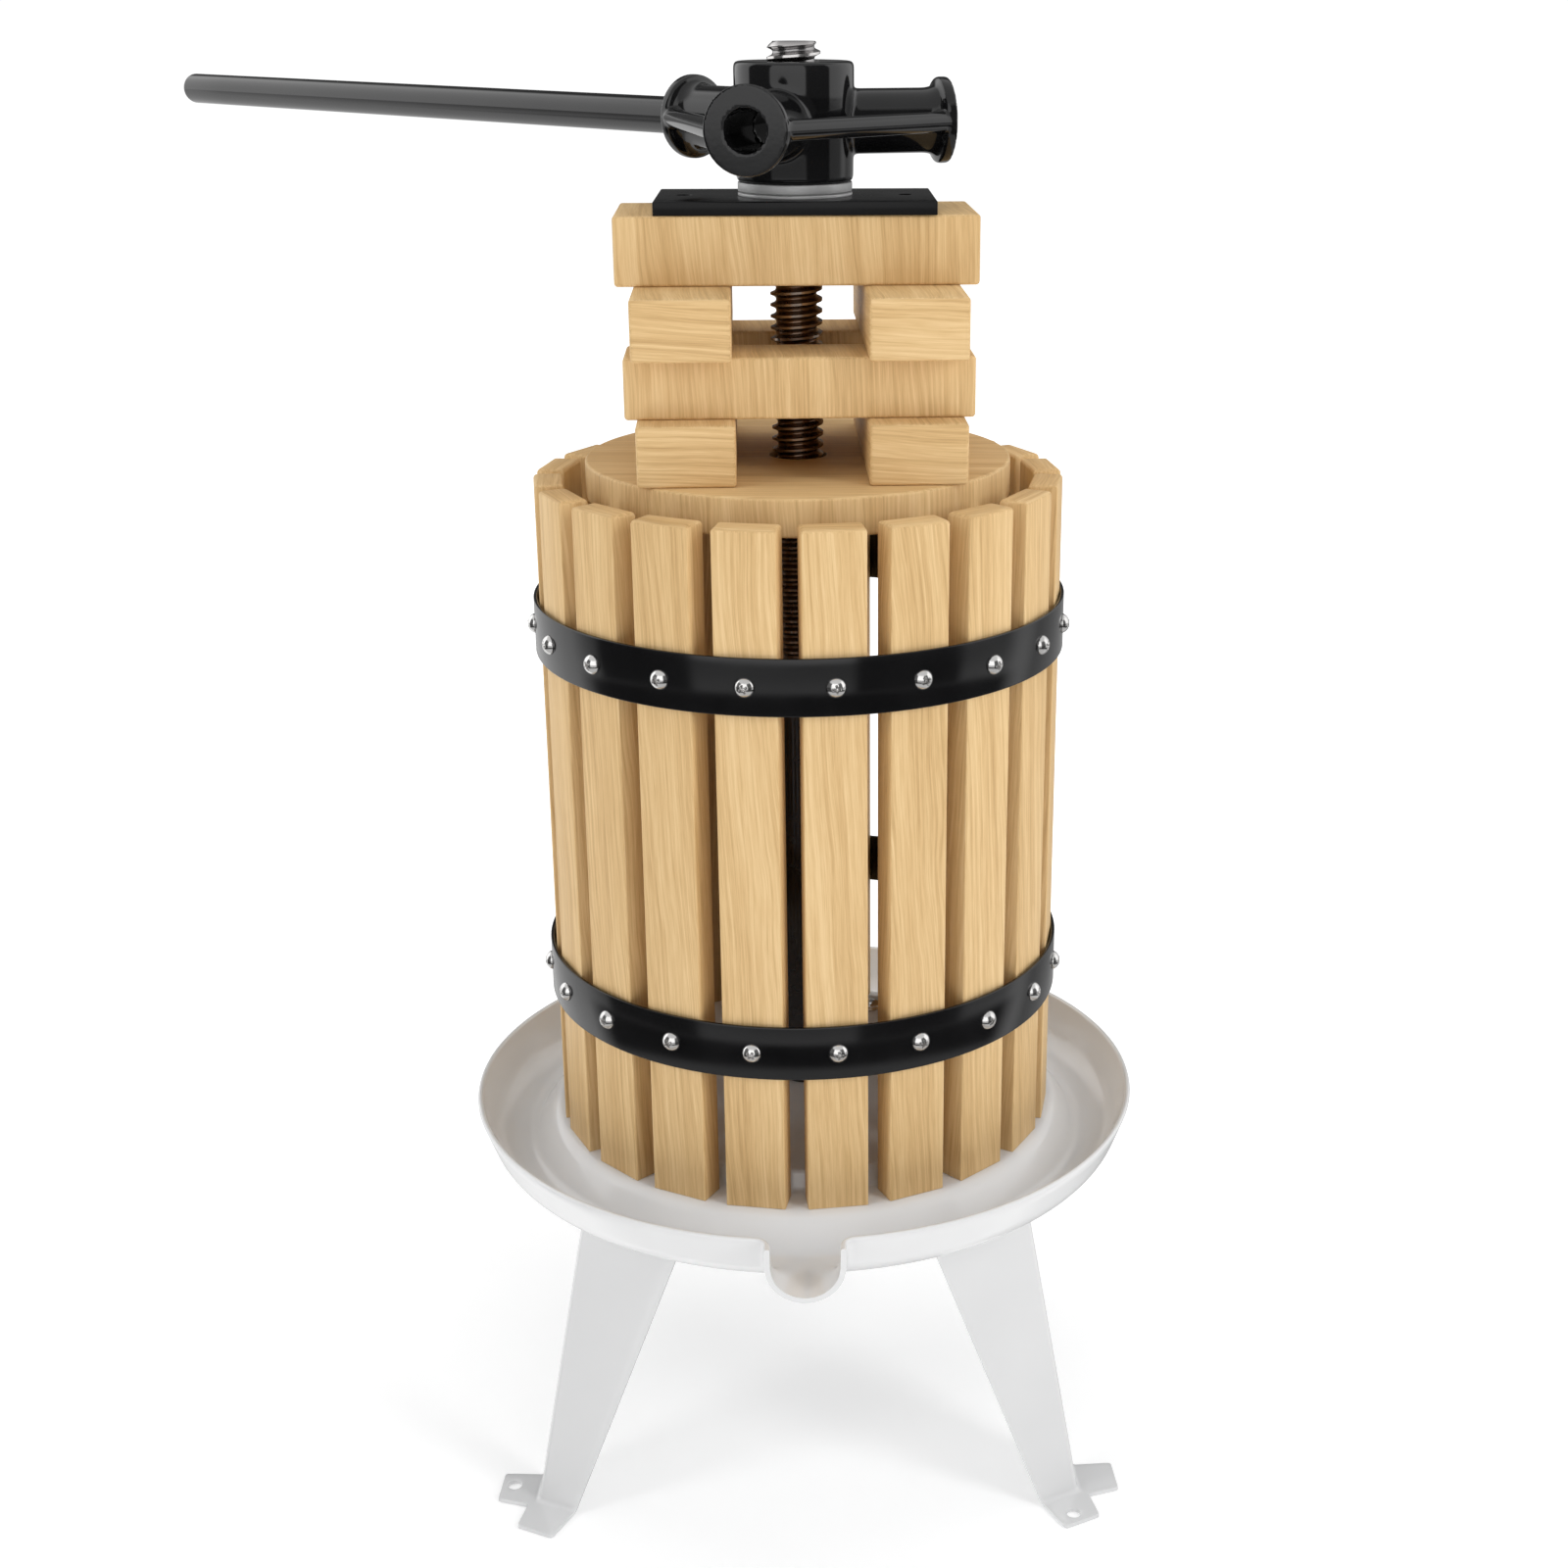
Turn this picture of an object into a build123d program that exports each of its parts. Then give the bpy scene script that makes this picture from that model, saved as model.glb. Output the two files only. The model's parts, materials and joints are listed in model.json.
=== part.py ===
from build123d import *
import math
import os

os.makedirs("parts", exist_ok=True)

# A hand fruit press. The origin is on the floor under the spindle, +Z up, the spout towards -Y.
# All sizes are in millimetres.

# Drip tray
sheet = 3.0
platform_z = 237.0
platform_r = 120.0
seat_z = 226.7
seat_r = 149.0
gutter_z = 208.0
gutter_inner_r = 163.0
gutter_outer_r = 181.9
rim_z = 235.8
rim_r = 192.0
spout_half_width = 21.5
spout_reach = 204.0
spout_bottom_z = 204.0
spout_root = 168.0

# Legs, in a leg's own directions: out from the spindle, and along each side plate
leg_azimuths = {"leg_front_left": -60.0, "leg_front_right": 60.0, "leg_rear": 180.0}
fold_r_floor = 187.2
fold_slope = 0.204
side_angle = 56.5
leg_sheet = 2.2
side_width_floor = 25.0
side_width_slope = 0.226
fold_round = 4.5
foot_length = 24.6
foot_lap = 3.8
foot_taper = 4.8
foot_hole_r = 4.2
foot_hole_along = 14.1
foot_hole_out = 16.9
leg_top_z = seat_z - sheet
bolt_along = 61.0
bolt_in = 18.0
bolt_r = 4.0

# Spindle
rod_r = 14.0
rod_top_z = 829.6
stud_r = 10.0
stud_bottom_z = 206.0

# Basket
stave_count = 20
stave_turn = -1.75
stave_width = 33.0
stave_thickness = 16.0
stave_outer_r = 144.4
stave_top_z = 604.6
stave_round = 2.2
band_inner_r = 145.6
band_sheet = 2.1
band_height = 30.4
band_heights = {"upper_band": 524.3, "lower_band": 321.5}
screw_head_r = 5.4
screw_head_h = 3.9
screw_shank_r = 2.0
screw_shank = 14.0

# Pressing stack
stack_turn = 1.6
disc_r = 116.4
disc_z = 593.7
disc_h = 20.5
block_h = 31.75
block_width = 51.0
block_length = 178.0
block_offset = 60.15
lower_left_shift = 1.2
board_length = 181.0
board_width = 46.0
board_offset = 48.0
beam_length = 190.0
beam_width = 79.0
beam_h = 35.9
wood_round = 1.8
rod_clearance = 1.6
plate_turn = 0.4
plate_length = 146.4
plate_width = 81.0
plate_h = 7.0
plate_screw_x = 58.5
washer_r = 30.2

# Head
hub_turn = -16.7
hub_r = 31.4
hub_foot_r = 30.8
arm_z = 789.3
hub_top_z = 820.0
hub_bottom_z = 759.4
nut_clearance = 0.05
socket_r = 16.6
flange_r = 21.8
flange_h = 5.0
flange_outer = 83.0
socket_bore_r = 11.0
socket_floor = 35.0
tie_r = 5.0
tie_side = 16.6
handle_r = 9.9
handle_tip = 626.0

stack = Plane.XY.rotated((0, 0, stack_turn))
plate_stack = Plane.XY.rotated((0, 0, plate_turn))


def finish(name, piece):
    piece.part.label = name
    export_step(piece.part, "parts/" + name + ".step")


def radial_plane(azimuth, radius, height):
    """Plane at an azimuth from the front; its x runs round the press, its normal points outwards."""
    turn = math.radians(azimuth)
    across = (math.cos(turn), math.sin(turn), 0)
    out = (math.sin(turn), -math.cos(turn), 0)
    origin = (radius * out[0], radius * out[1], height)
    return Plane(origin=origin, x_dir=across, z_dir=out)


# ---------------------------------------------------------------- drip tray

stud_hole_r = stud_r + 0.3
bowl = [
    (platform_r, platform_z),
    (platform_r + 4.0, seat_z),
    (seat_r, seat_z),
    (gutter_inner_r, gutter_z),
    (gutter_outer_r, gutter_z),
    (rim_r, rim_z),
]
bowl_radii = [4.0, 3.5, 12.0, 10.0, 19.0]
spout_centre_z = spout_bottom_z + spout_half_width


def leg_bolt_places():
    """Centres of the bolts that hold each leg, two to a leg, on the tray's raised centre."""
    places = []
    for azimuth in leg_azimuths.values():
        for side in (-1, 1):
            angle = math.radians(side_angle)
            fold_r = fold_r_floor - fold_slope * leg_top_z
            out = fold_r - bolt_along * math.cos(angle) - bolt_in * math.sin(angle)
            across = side * (bolt_along * math.sin(angle) - bolt_in * math.cos(angle))
            turn = math.radians(azimuth)
            x = out * math.sin(turn) + across * math.cos(turn)
            y = -out * math.cos(turn) + across * math.sin(turn)
            places.append((x, y))
    return places


with BuildPart() as tray:
    with BuildSketch(Plane.XZ) as outside:
        with BuildLine():
            FilletPolyline((0, platform_z), *bowl, radius=bowl_radii)
            under = offset(amount=sheet, side=Side.RIGHT, closed=False)
            under_end = under @ 1
            Polyline(under_end, (under_end.X, rim_z), (0, rim_z), under @ 0)
        make_face()
    revolve(axis=Axis.Z)
    with BuildSketch(Plane.XY.offset(rim_z - 1)):
        Circle(platform_r + 0.3)
    extrude(amount=platform_z - rim_z + 1)
    with BuildSketch(Plane.XZ.offset(spout_root)) as spout_outside:
        with BuildLine():
            Line((-spout_half_width, spout_centre_z), (-spout_half_width, rim_z))
            Line((-spout_half_width, rim_z), (spout_half_width, rim_z))
            Line((spout_half_width, rim_z), (spout_half_width, spout_centre_z))
            ThreePointArc(
                (spout_half_width, spout_centre_z),
                (0, spout_bottom_z),
                (-spout_half_width, spout_centre_z),
            )
        make_face()
    extrude(amount=spout_reach - spout_root)
    with BuildSketch(Plane.XZ) as hollow:
        with BuildLine():
            FilletPolyline((0, platform_z), *bowl, radius=bowl_radii)
            Polyline((rim_r, rim_z), (rim_r, rim_z + 5), (0, rim_z + 5), (0, platform_z))
        make_face()
    revolve(axis=Axis.Z, mode=Mode.SUBTRACT)
    with BuildSketch(Plane.XZ.offset(spout_root + sheet)) as spout_inside:
        with Locations((0, spout_centre_z)):
            Circle(spout_half_width - sheet)
        with Locations((0, spout_centre_z + spout_half_width)):
            Rectangle(2 * (spout_half_width - sheet), 2 * spout_half_width)
    extrude(amount=spout_reach - spout_root, mode=Mode.SUBTRACT)
    with Locations((0, 0, platform_z)):
        Hole(stud_hole_r, depth=2 * sheet)
    with Locations(*[(x, y, platform_z) for x, y in leg_bolt_places()]):
        Hole(bolt_r + 0.3, depth=2 * sheet)
finish("tray", tray)

# ---------------------------------------------------------------- legs


def leg_frame(azimuth):
    """Unit vectors of a leg: out from the spindle, and across it."""
    turn = math.radians(azimuth)
    out = Vector(math.sin(turn), -math.cos(turn), 0)
    across = Vector(math.cos(turn), math.sin(turn), 0)
    return out, across


def side_point(azimuth, side, along, inwards, z):
    """A point of a side plate: its distance along the plate from the fold, and in from its face."""
    out, across = leg_frame(azimuth)
    angle = math.radians(side_angle)
    along_dir = -math.cos(angle) * out + side * math.sin(angle) * across
    in_dir = -math.sin(angle) * out - side * math.cos(angle) * across
    fold = (fold_r_floor - fold_slope * z) * out
    return fold + along * along_dir + inwards * in_dir + Vector(0, 0, z)


def side_width(z):
    return side_width_floor + side_width_slope * z


for leg_name, azimuth in leg_azimuths.items():
    with BuildPart() as leg:
        for side in (-1, 1):
            corners = [
                side_point(azimuth, side, 0, 0, 0),
                side_point(azimuth, side, side_width(0), 0, 0),
                side_point(azimuth, side, side_width(leg_top_z), 0, leg_top_z),
                side_point(azimuth, side, 0, 0, leg_top_z),
            ]
            normal = (corners[1] - corners[0]).cross(corners[3] - corners[0]) * -side
            plate = Plane(origin=corners[0], x_dir=corners[1] - corners[0], z_dir=normal)
            with BuildSketch(plate):
                with BuildLine():
                    Polyline(*[plate.to_local_coords(corner) for corner in corners], close=True)
                make_face()
            extrude(amount=leg_sheet)
        # trim the plates level with the floor and with the tray
        with BuildSketch(Plane.XY.offset(-20)):
            Circle(260)
        extrude(amount=20, mode=Mode.SUBTRACT)
        with BuildSketch(Plane.XY.offset(leg_top_z)):
            Circle(260)
        extrude(amount=20, mode=Mode.SUBTRACT)
        fold_middle = side_point(azimuth, 1, 0, 0, leg_top_z / 2)
        fillet(leg.edges().sort_by_distance(fold_middle)[0], radius=fold_round)
        for side in (-1, 1):
            # foot tab, bent outwards on the floor
            foot = [
                side_point(azimuth, side, 0.5, leg_sheet, 0),
                side_point(azimuth, side, -foot_lap, -5.8, 0),
                side_point(azimuth, side, foot_taper - foot_lap, 2 - foot_length, 0),
                side_point(azimuth, side, foot_taper + 2 - foot_lap, -foot_length, 0),
                side_point(azimuth, side, side_width_floor, -foot_length, 0),
                side_point(azimuth, side, side_width_floor, leg_sheet, 0),
            ]
            with BuildSketch():
                with BuildLine():
                    Polyline(*[(p.X, p.Y) for p in foot], close=True)
                make_face()
            extrude(amount=leg_sheet)
            # top tab, bent inwards under the tray's seat and stepped up to its raised centre
            start = side_point(azimuth, side, bolt_along - 13, 0, leg_top_z)
            step_dir = side_point(azimuth, side, bolt_along - 13, 1, leg_top_z) - start
            along_dir = side_point(azimuth, side, bolt_along, 0, leg_top_z) - start
            rise = platform_z - sheet - leg_top_z
            tab = Plane(origin=start, x_dir=step_dir, z_dir=along_dir)
            up = 1 if tab.y_dir.Z > 0 else -1
            with BuildSketch(tab):
                with BuildLine():
                    Polyline(
                        (0, 0),
                        (5, 0),
                        (5, up * rise),
                        (30, up * rise),
                        (30, up * (rise - leg_sheet)),
                        (5 + leg_sheet, up * (rise - leg_sheet)),
                        (5 + leg_sheet, -up * leg_sheet),
                        (0, -up * leg_sheet),
                        close=True,
                    )
                make_face()
            extrude(amount=26)
        hole_at = side_point(azimuth, -1, foot_hole_along, -foot_hole_out, leg_sheet)
        with Locations(hole_at):
            Hole(foot_hole_r, depth=leg_sheet)
        for side in (-1, 1):
            bolt_at = side_point(azimuth, side, bolt_along, bolt_in, leg_top_z)
            with Locations((bolt_at.X, bolt_at.Y, platform_z - sheet)):
                Hole(bolt_r + 0.3, depth=leg_sheet)
    finish(leg_name, leg)

bolt_z = platform_z - sheet - leg_sheet
with BuildPart() as leg_bolts:
    with BuildSketch(Plane.XY.offset(platform_z)):
        with Locations(*leg_bolt_places()):
            Circle(8.0)
    extrude(amount=4.0)
    fillet(leg_bolts.edges().group_by(Axis.Z)[-1], radius=3.0)
    with BuildSketch(Plane.XY.offset(platform_z)):
        with Locations(*leg_bolt_places()):
            Circle(bolt_r)
    extrude(amount=-(sheet + leg_sheet + 9.0))
finish("leg_bolts", leg_bolts)

with BuildPart() as leg_nuts:
    with BuildSketch(Plane.XY.offset(bolt_z)):
        with Locations(*leg_bolt_places()):
            RegularPolygon(6.5, 6, major_radius=False)
            Circle(bolt_r, mode=Mode.SUBTRACT)
    extrude(amount=-6.5)
finish("leg_nuts", leg_nuts)

# ---------------------------------------------------------------- spindle

with BuildPart() as screw_rod:
    with BuildSketch(Plane.XY.offset(platform_z)):
        Circle(rod_r)
    extrude(amount=rod_top_z - platform_z)
    chamfer(screw_rod.edges().group_by(Axis.Z)[-1], length=2.5)
    with BuildSketch(Plane.XY.offset(stud_bottom_z)):
        Circle(stud_r)
    extrude(amount=platform_z - stud_bottom_z)
    chamfer(screw_rod.edges().group_by(Axis.Z)[0], length=1.5)
finish("screw_rod", screw_rod)

with BuildPart() as rod_washer:
    with BuildSketch(Plane.XY.offset(platform_z - 2 * sheet)):
        Circle(25)
        Circle(stud_hole_r, mode=Mode.SUBTRACT)
    extrude(amount=sheet)
    fillet(rod_washer.edges().filter_by(GeomType.CIRCLE).sort_by(SortBy.RADIUS)[-2:], radius=0.6)
finish("rod_washer", rod_washer)

nut_h = 16.0
with BuildPart() as rod_nut:
    with BuildSketch(Plane.XY.offset(platform_z - 2 * sheet - nut_h)):
        RegularPolygon(15, 6, major_radius=False)
        Circle(stud_r, mode=Mode.SUBTRACT)
    extrude(amount=nut_h)
finish("rod_nut", rod_nut)

# ---------------------------------------------------------------- basket

stave_h = stave_top_z - seat_z
stave_step = 360 / stave_count
stave_azimuths = [stave_turn + (i + 0.5) * stave_step for i in range(stave_count)]

for number, azimuth in enumerate(stave_azimuths, start=1):
    inner = radial_plane(azimuth, stave_outer_r - stave_thickness, (seat_z + stave_top_z) / 2)
    with BuildPart() as stave:
        with BuildSketch(inner):
            Rectangle(stave_width, stave_h)
        extrude(amount=stave_thickness)
        fillet(stave.faces().sort_by(Axis.Z)[-1].edges(), radius=stave_round)
        fillet(stave.edges().filter_by(Axis.Z), radius=1.2)
        for height in band_heights.values():
            with BuildSketch(radial_plane(azimuth, stave_outer_r, height)):
                Circle(screw_shank_r)
            extrude(amount=-(screw_shank - 2), mode=Mode.SUBTRACT)
    finish("stave_%02d" % number, stave)

for band_name, height in band_heights.items():
    with BuildPart() as band:
        with BuildSketch(Plane.XY.offset(height - band_height / 2)):
            Circle(band_inner_r + band_sheet)
            Circle(band_inner_r, mode=Mode.SUBTRACT)
        extrude(amount=band_height)
        fillet(band.edges(), radius=0.5)
        for azimuth in stave_azimuths:
            with BuildSketch(radial_plane(azimuth, stave_outer_r, height)):
                Circle(screw_shank_r)
            extrude(amount=8, mode=Mode.SUBTRACT)
    finish(band_name, band)

    with BuildPart() as screws:
        for azimuth in stave_azimuths:
            seat = radial_plane(azimuth, band_inner_r + band_sheet, height)
            with BuildSketch(seat):
                Circle(screw_head_r)
            extrude(amount=screw_head_h, taper=12)
            with BuildSketch(seat.offset(-screw_shank)):
                Circle(screw_shank_r)
            extrude(amount=screw_shank)
            with BuildSketch(seat.offset(screw_head_h - 1.4)):
                Rectangle(5.0, 1.1)
                Rectangle(1.1, 5.0)
            extrude(amount=2, mode=Mode.SUBTRACT)
    finish(band_name + "_screws", screws)

# ---------------------------------------------------------------- pressing stack

with BuildPart() as press_disc:
    with BuildSketch(stack.offset(disc_z)):
        Circle(disc_r)
        Circle(rod_r + rod_clearance, mode=Mode.SUBTRACT)
    extrude(amount=disc_h)
    outer = press_disc.edges().filter_by(GeomType.CIRCLE).sort_by(SortBy.RADIUS)[-2:]
    fillet(outer, radius=wood_round)
finish("press_disc", press_disc)

lower_z = disc_z + disc_h
middle_z = lower_z + block_h
upper_z = middle_z + block_h
beam_z = upper_z + block_h
plate_z = beam_z + beam_h
timbers = {
    "lower_block_left": (lower_z, lower_left_shift - block_offset, 0, block_width, block_length),
    "lower_block_right": (lower_z, block_offset, 0, block_width, block_length),
    "middle_board_front": (middle_z, 0, -board_offset, board_length, board_width),
    "middle_board_rear": (middle_z, 0, board_offset, board_length, board_width),
    "upper_block_left": (upper_z, -block_offset, 0, block_width, block_length),
    "upper_block_right": (upper_z, block_offset, 0, block_width, block_length),
}
for timber_name, (base, x, y, size_x, size_y) in timbers.items():
    with BuildPart() as timber:
        with BuildSketch(stack.offset(base)):
            with Locations((x, y)):
                Rectangle(size_x, size_y)
        extrude(amount=block_h)
        fillet(timber.edges(), radius=wood_round)
    finish(timber_name, timber)

with BuildPart() as top_beam:
    with BuildSketch(stack.offset(beam_z)):
        Rectangle(beam_length, beam_width)
    extrude(amount=beam_h)
    fillet(top_beam.edges(), radius=wood_round)
    with BuildSketch(stack.offset(beam_z)):
        Circle(rod_r + rod_clearance)
    extrude(amount=beam_h, mode=Mode.SUBTRACT)
    with BuildSketch(plate_stack.offset(plate_z)):
        with Locations((-plate_screw_x, 0), (plate_screw_x, 0)):
            Circle(screw_shank_r)
    extrude(amount=-20, mode=Mode.SUBTRACT)
finish("top_beam", top_beam)

with BuildPart() as bearing_plate:
    with BuildSketch(plate_stack.offset(plate_z)):
        Rectangle(plate_length, plate_width)
        Circle(rod_r + rod_clearance, mode=Mode.SUBTRACT)
    extrude(amount=plate_h)
    chamfer(bearing_plate.edges().group_by(Axis.Z)[-1].filter_by(GeomType.LINE), length=0.8)
    with Locations(plate_stack.offset(plate_z + plate_h)):
        with Locations((-plate_screw_x, 0), (plate_screw_x, 0)):
            CounterSinkHole(screw_shank_r, 4.0, depth=plate_h, counter_sink_angle=90)
finish("bearing_plate", bearing_plate)

with BuildPart() as plate_screws:
    with BuildSketch(plate_stack.offset(plate_z + plate_h - 0.4)):
        with Locations((-plate_screw_x, 0), (plate_screw_x, 0)):
            Circle(3.5)
    extrude(amount=-1.5, taper=45)
    with BuildSketch(plate_stack.offset(plate_z + plate_h - 0.8)):
        with Locations((-plate_screw_x, 0), (plate_screw_x, 0)):
            Circle(screw_shank_r)
    extrude(amount=-22)
finish("plate_screws", plate_screws)

thin_z = plate_z + plate_h
thrust_z = thin_z + 1.8
with BuildPart() as thin_washer:
    with BuildSketch(Plane.XY.offset(thin_z)):
        Circle(washer_r)
        Circle(rod_r + 0.8, mode=Mode.SUBTRACT)
    extrude(amount=thrust_z - thin_z)
finish("thin_washer", thin_washer)

with BuildPart() as thrust_washer:
    with BuildSketch(Plane.XY.offset(thrust_z)):
        Circle(washer_r)
        Circle(rod_r + 0.8, mode=Mode.SUBTRACT)
    extrude(amount=hub_bottom_z - thrust_z)
    rings = thrust_washer.edges().filter_by(GeomType.CIRCLE).sort_by(SortBy.RADIUS)[-2:]
    chamfer(rings, length=0.7)
finish("thrust_washer", thrust_washer)

# ---------------------------------------------------------------- head

socket_azimuths = [hub_turn + 120 * i for i in range(3)]

with BuildPart() as hub:
    with BuildSketch(Plane.XZ):
        with BuildLine():
            FilletPolyline(
                (0, hub_bottom_z),
                (hub_foot_r, hub_bottom_z),
                (hub_r, hub_top_z - 17),
                (hub_r, hub_top_z),
                (0, hub_top_z),
                radius=[1.5, 8.0, 4.5],
            )
            Line((0, hub_top_z), (0, hub_bottom_z))
        make_face()
    revolve(axis=Axis.Z)
    for azimuth in socket_azimuths:
        with BuildSketch(radial_plane(azimuth, 12, arm_z)):
            Circle(socket_r)
        extrude(amount=flange_outer - 2 - 12)
        with BuildSketch(radial_plane(azimuth, flange_outer - flange_h, arm_z)):
            Circle(flange_r)
        extrude(amount=flange_h)
        with BuildSketch(radial_plane(azimuth, flange_outer - flange_h - 5, arm_z)):
            Circle(socket_r)
        with BuildSketch(radial_plane(azimuth, flange_outer - flange_h, arm_z)):
            Circle(flange_r)
        loft()
    rims = hub.edges().filter_by(GeomType.CIRCLE).filter_by(lambda e: abs(e.radius - flange_r) < 0.01)
    fillet(rims, radius=1.5)
    flanges = [radial_plane(azimuth, flange_outer - flange_h + 1, arm_z) for azimuth in socket_azimuths]
    for first, second in zip(flanges, flanges[1:] + flanges[:1]):
        start = first.from_local_coords((tie_side, 0, 0))
        end = second.from_local_coords((-tie_side, 0, 0))
        with BuildSketch(Plane(origin=start, z_dir=end - start)):
            Circle(tie_r)
        extrude(amount=(end - start).length)
    for azimuth in socket_azimuths:
        with BuildSketch(radial_plane(azimuth, socket_floor, arm_z)):
            Circle(socket_bore_r)
        extrude(amount=flange_outer, mode=Mode.SUBTRACT)
    with BuildSketch(Plane.XY.offset(hub_bottom_z)):
        Circle(rod_r + nut_clearance)
    extrude(amount=hub_top_z - hub_bottom_z, mode=Mode.SUBTRACT)
finish("hub", hub)

with BuildPart() as handle_bar:
    with BuildSketch(radial_plane(socket_azimuths[2], socket_floor + 1, arm_z)):
        Circle(handle_r)
    extrude(amount=handle_tip - socket_floor - 1)
    fillet(handle_bar.edges().filter_by(GeomType.CIRCLE), radius=4.0)
finish("handle_bar", handle_bar)
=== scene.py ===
import json
import math
import random

import bmesh
import bpy
import numpy as np
from mathutils import Matrix, Vector


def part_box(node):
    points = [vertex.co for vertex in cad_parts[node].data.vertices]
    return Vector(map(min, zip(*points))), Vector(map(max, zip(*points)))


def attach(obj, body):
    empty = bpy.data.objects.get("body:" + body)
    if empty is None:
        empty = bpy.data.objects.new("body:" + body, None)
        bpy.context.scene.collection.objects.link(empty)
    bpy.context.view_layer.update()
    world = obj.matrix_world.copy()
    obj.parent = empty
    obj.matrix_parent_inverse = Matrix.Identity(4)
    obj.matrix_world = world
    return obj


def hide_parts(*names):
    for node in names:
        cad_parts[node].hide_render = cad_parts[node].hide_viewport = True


# Looks for a fruit press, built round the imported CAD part. Shapes are worked out in millimetres
# and every mesh is made in metres.

MM = 0.001
PI = math.pi

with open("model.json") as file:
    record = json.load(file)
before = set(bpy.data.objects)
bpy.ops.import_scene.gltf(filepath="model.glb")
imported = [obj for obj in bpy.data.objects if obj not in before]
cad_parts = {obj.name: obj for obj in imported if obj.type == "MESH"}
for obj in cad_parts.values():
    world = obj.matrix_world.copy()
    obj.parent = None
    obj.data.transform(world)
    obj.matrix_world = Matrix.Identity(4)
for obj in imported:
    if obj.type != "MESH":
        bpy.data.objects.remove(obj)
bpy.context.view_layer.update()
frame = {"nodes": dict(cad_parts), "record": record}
record = frame["record"]
scene = bpy.context.scene
rng = random.Random(11)


def span(node):
    """Lowest and highest corner of a CAD node, in millimetres."""
    low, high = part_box(node)
    return np.array(low) / MM, np.array(high) / MM


def middle(node):
    low, high = span(node)
    return (low + high) / 2


def mount(name):
    found = [m for m in record["mounts"] if m["name"] == name][0]
    return np.array(found["pos_m"]) / MM, np.array(found["axis"])


# ------------------------------------------------------------------ materials


class Nodes:
    """A node tree, emptied, with short calls for the nodes used here."""

    def __init__(self, tree):
        self.tree = tree
        tree.nodes.clear()

    def add(self, kind):
        return self.tree.nodes.new(kind)

    def link(self, a, b):
        self.tree.links.new(a, b)

    def put(self, value, socket):
        if isinstance(value, bpy.types.NodeSocket):
            self.link(value, socket)
        else:
            socket.default_value = value

    def place(self):
        return self.add("ShaderNodeTexCoord").outputs["Object"]

    def attribute(self, name):
        node = self.add("ShaderNodeAttribute")
        node.attribute_name = name
        return node.outputs["Vector"]

    def math(self, operation, a, b=0.0):
        node = self.add("ShaderNodeMath")
        node.operation = operation
        self.put(a, node.inputs[0])
        self.put(b, node.inputs[1])
        return node.outputs[0]

    def scaled(self, vector, scale):
        node = self.add("ShaderNodeVectorMath")
        node.operation = "MULTIPLY"
        self.put(vector, node.inputs[0])
        node.inputs[1].default_value = scale
        return node.outputs[0]

    def split(self, vector):
        node = self.add("ShaderNodeSeparateXYZ")
        self.link(vector, node.inputs[0])
        return node.outputs

    def join(self, x, y, z):
        node = self.add("ShaderNodeCombineXYZ")
        for value, socket in zip((x, y, z), node.inputs):
            self.put(value, socket)
        return node.outputs[0]

    def noise(self, vector, scale=1.0, detail=2.0, roughness=0.5):
        node = self.add("ShaderNodeTexNoise")
        self.put(vector, node.inputs["Vector"])
        node.inputs["Scale"].default_value = scale
        node.inputs["Detail"].default_value = detail
        node.inputs["Roughness"].default_value = roughness
        return node.outputs[0]

    def ramp(self, value, *stops):
        node = self.add("ShaderNodeValToRGB")
        self.link(value, node.inputs[0])
        points = node.color_ramp.elements
        while len(points) < len(stops):
            points.new(0.5)
        for point, (position, colour) in zip(points, stops):
            point.position = position
            point.color = (*colour, 1)
        return node.outputs[0]

    def range(self, value, low, high, to_low=0.0, to_high=1.0):
        node = self.add("ShaderNodeMapRange")
        self.put(value, node.inputs[0])
        for socket, number in zip(node.inputs[1:5], (low, high, to_low, to_high)):
            socket.default_value = number
        return node.outputs[0]

    def mix(self, factor, a, b):
        node = self.add("ShaderNodeMix")
        node.data_type = "RGBA"
        self.put(factor, node.inputs[0])
        for value, socket in ((a, node.inputs[6]), (b, node.inputs[7])):
            self.put((*value, 1) if isinstance(value, tuple) else value, socket)
        return node.outputs[2]

    def from_axis(self, x, y):
        """Distance from the Z axis."""
        return self.math("SQRT", self.math("ADD", self.math("MULTIPLY", x, x), self.math("MULTIPLY", y, y)))


class Shader(Nodes):
    """A material with one principled shader; values are its sockets' constants."""

    def __init__(self, name, **values):
        self.material = bpy.data.materials.new(name)
        self.material.use_nodes = True
        super().__init__(self.material.node_tree)
        self.bsdf = self.add("ShaderNodeBsdfPrincipled")
        out = self.add("ShaderNodeOutputMaterial")
        self.link(self.bsdf.outputs[0], out.inputs[0])
        for key, value in values.items():
            self.bsdf.inputs[key.replace("_", " ")].default_value = value

    def bump(self, height, distance, strength=1.0):
        node = self.add("ShaderNodeBump")
        node.inputs["Strength"].default_value = strength
        node.inputs["Distance"].default_value = distance
        self.link(height, node.inputs["Height"])
        self.link(node.outputs[0], self.bsdf.inputs["Normal"])

    def colour(self, value):
        self.put(value, self.bsdf.inputs["Base Color"])

    def roughness(self, value):
        self.put(value, self.bsdf.inputs["Roughness"])


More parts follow.
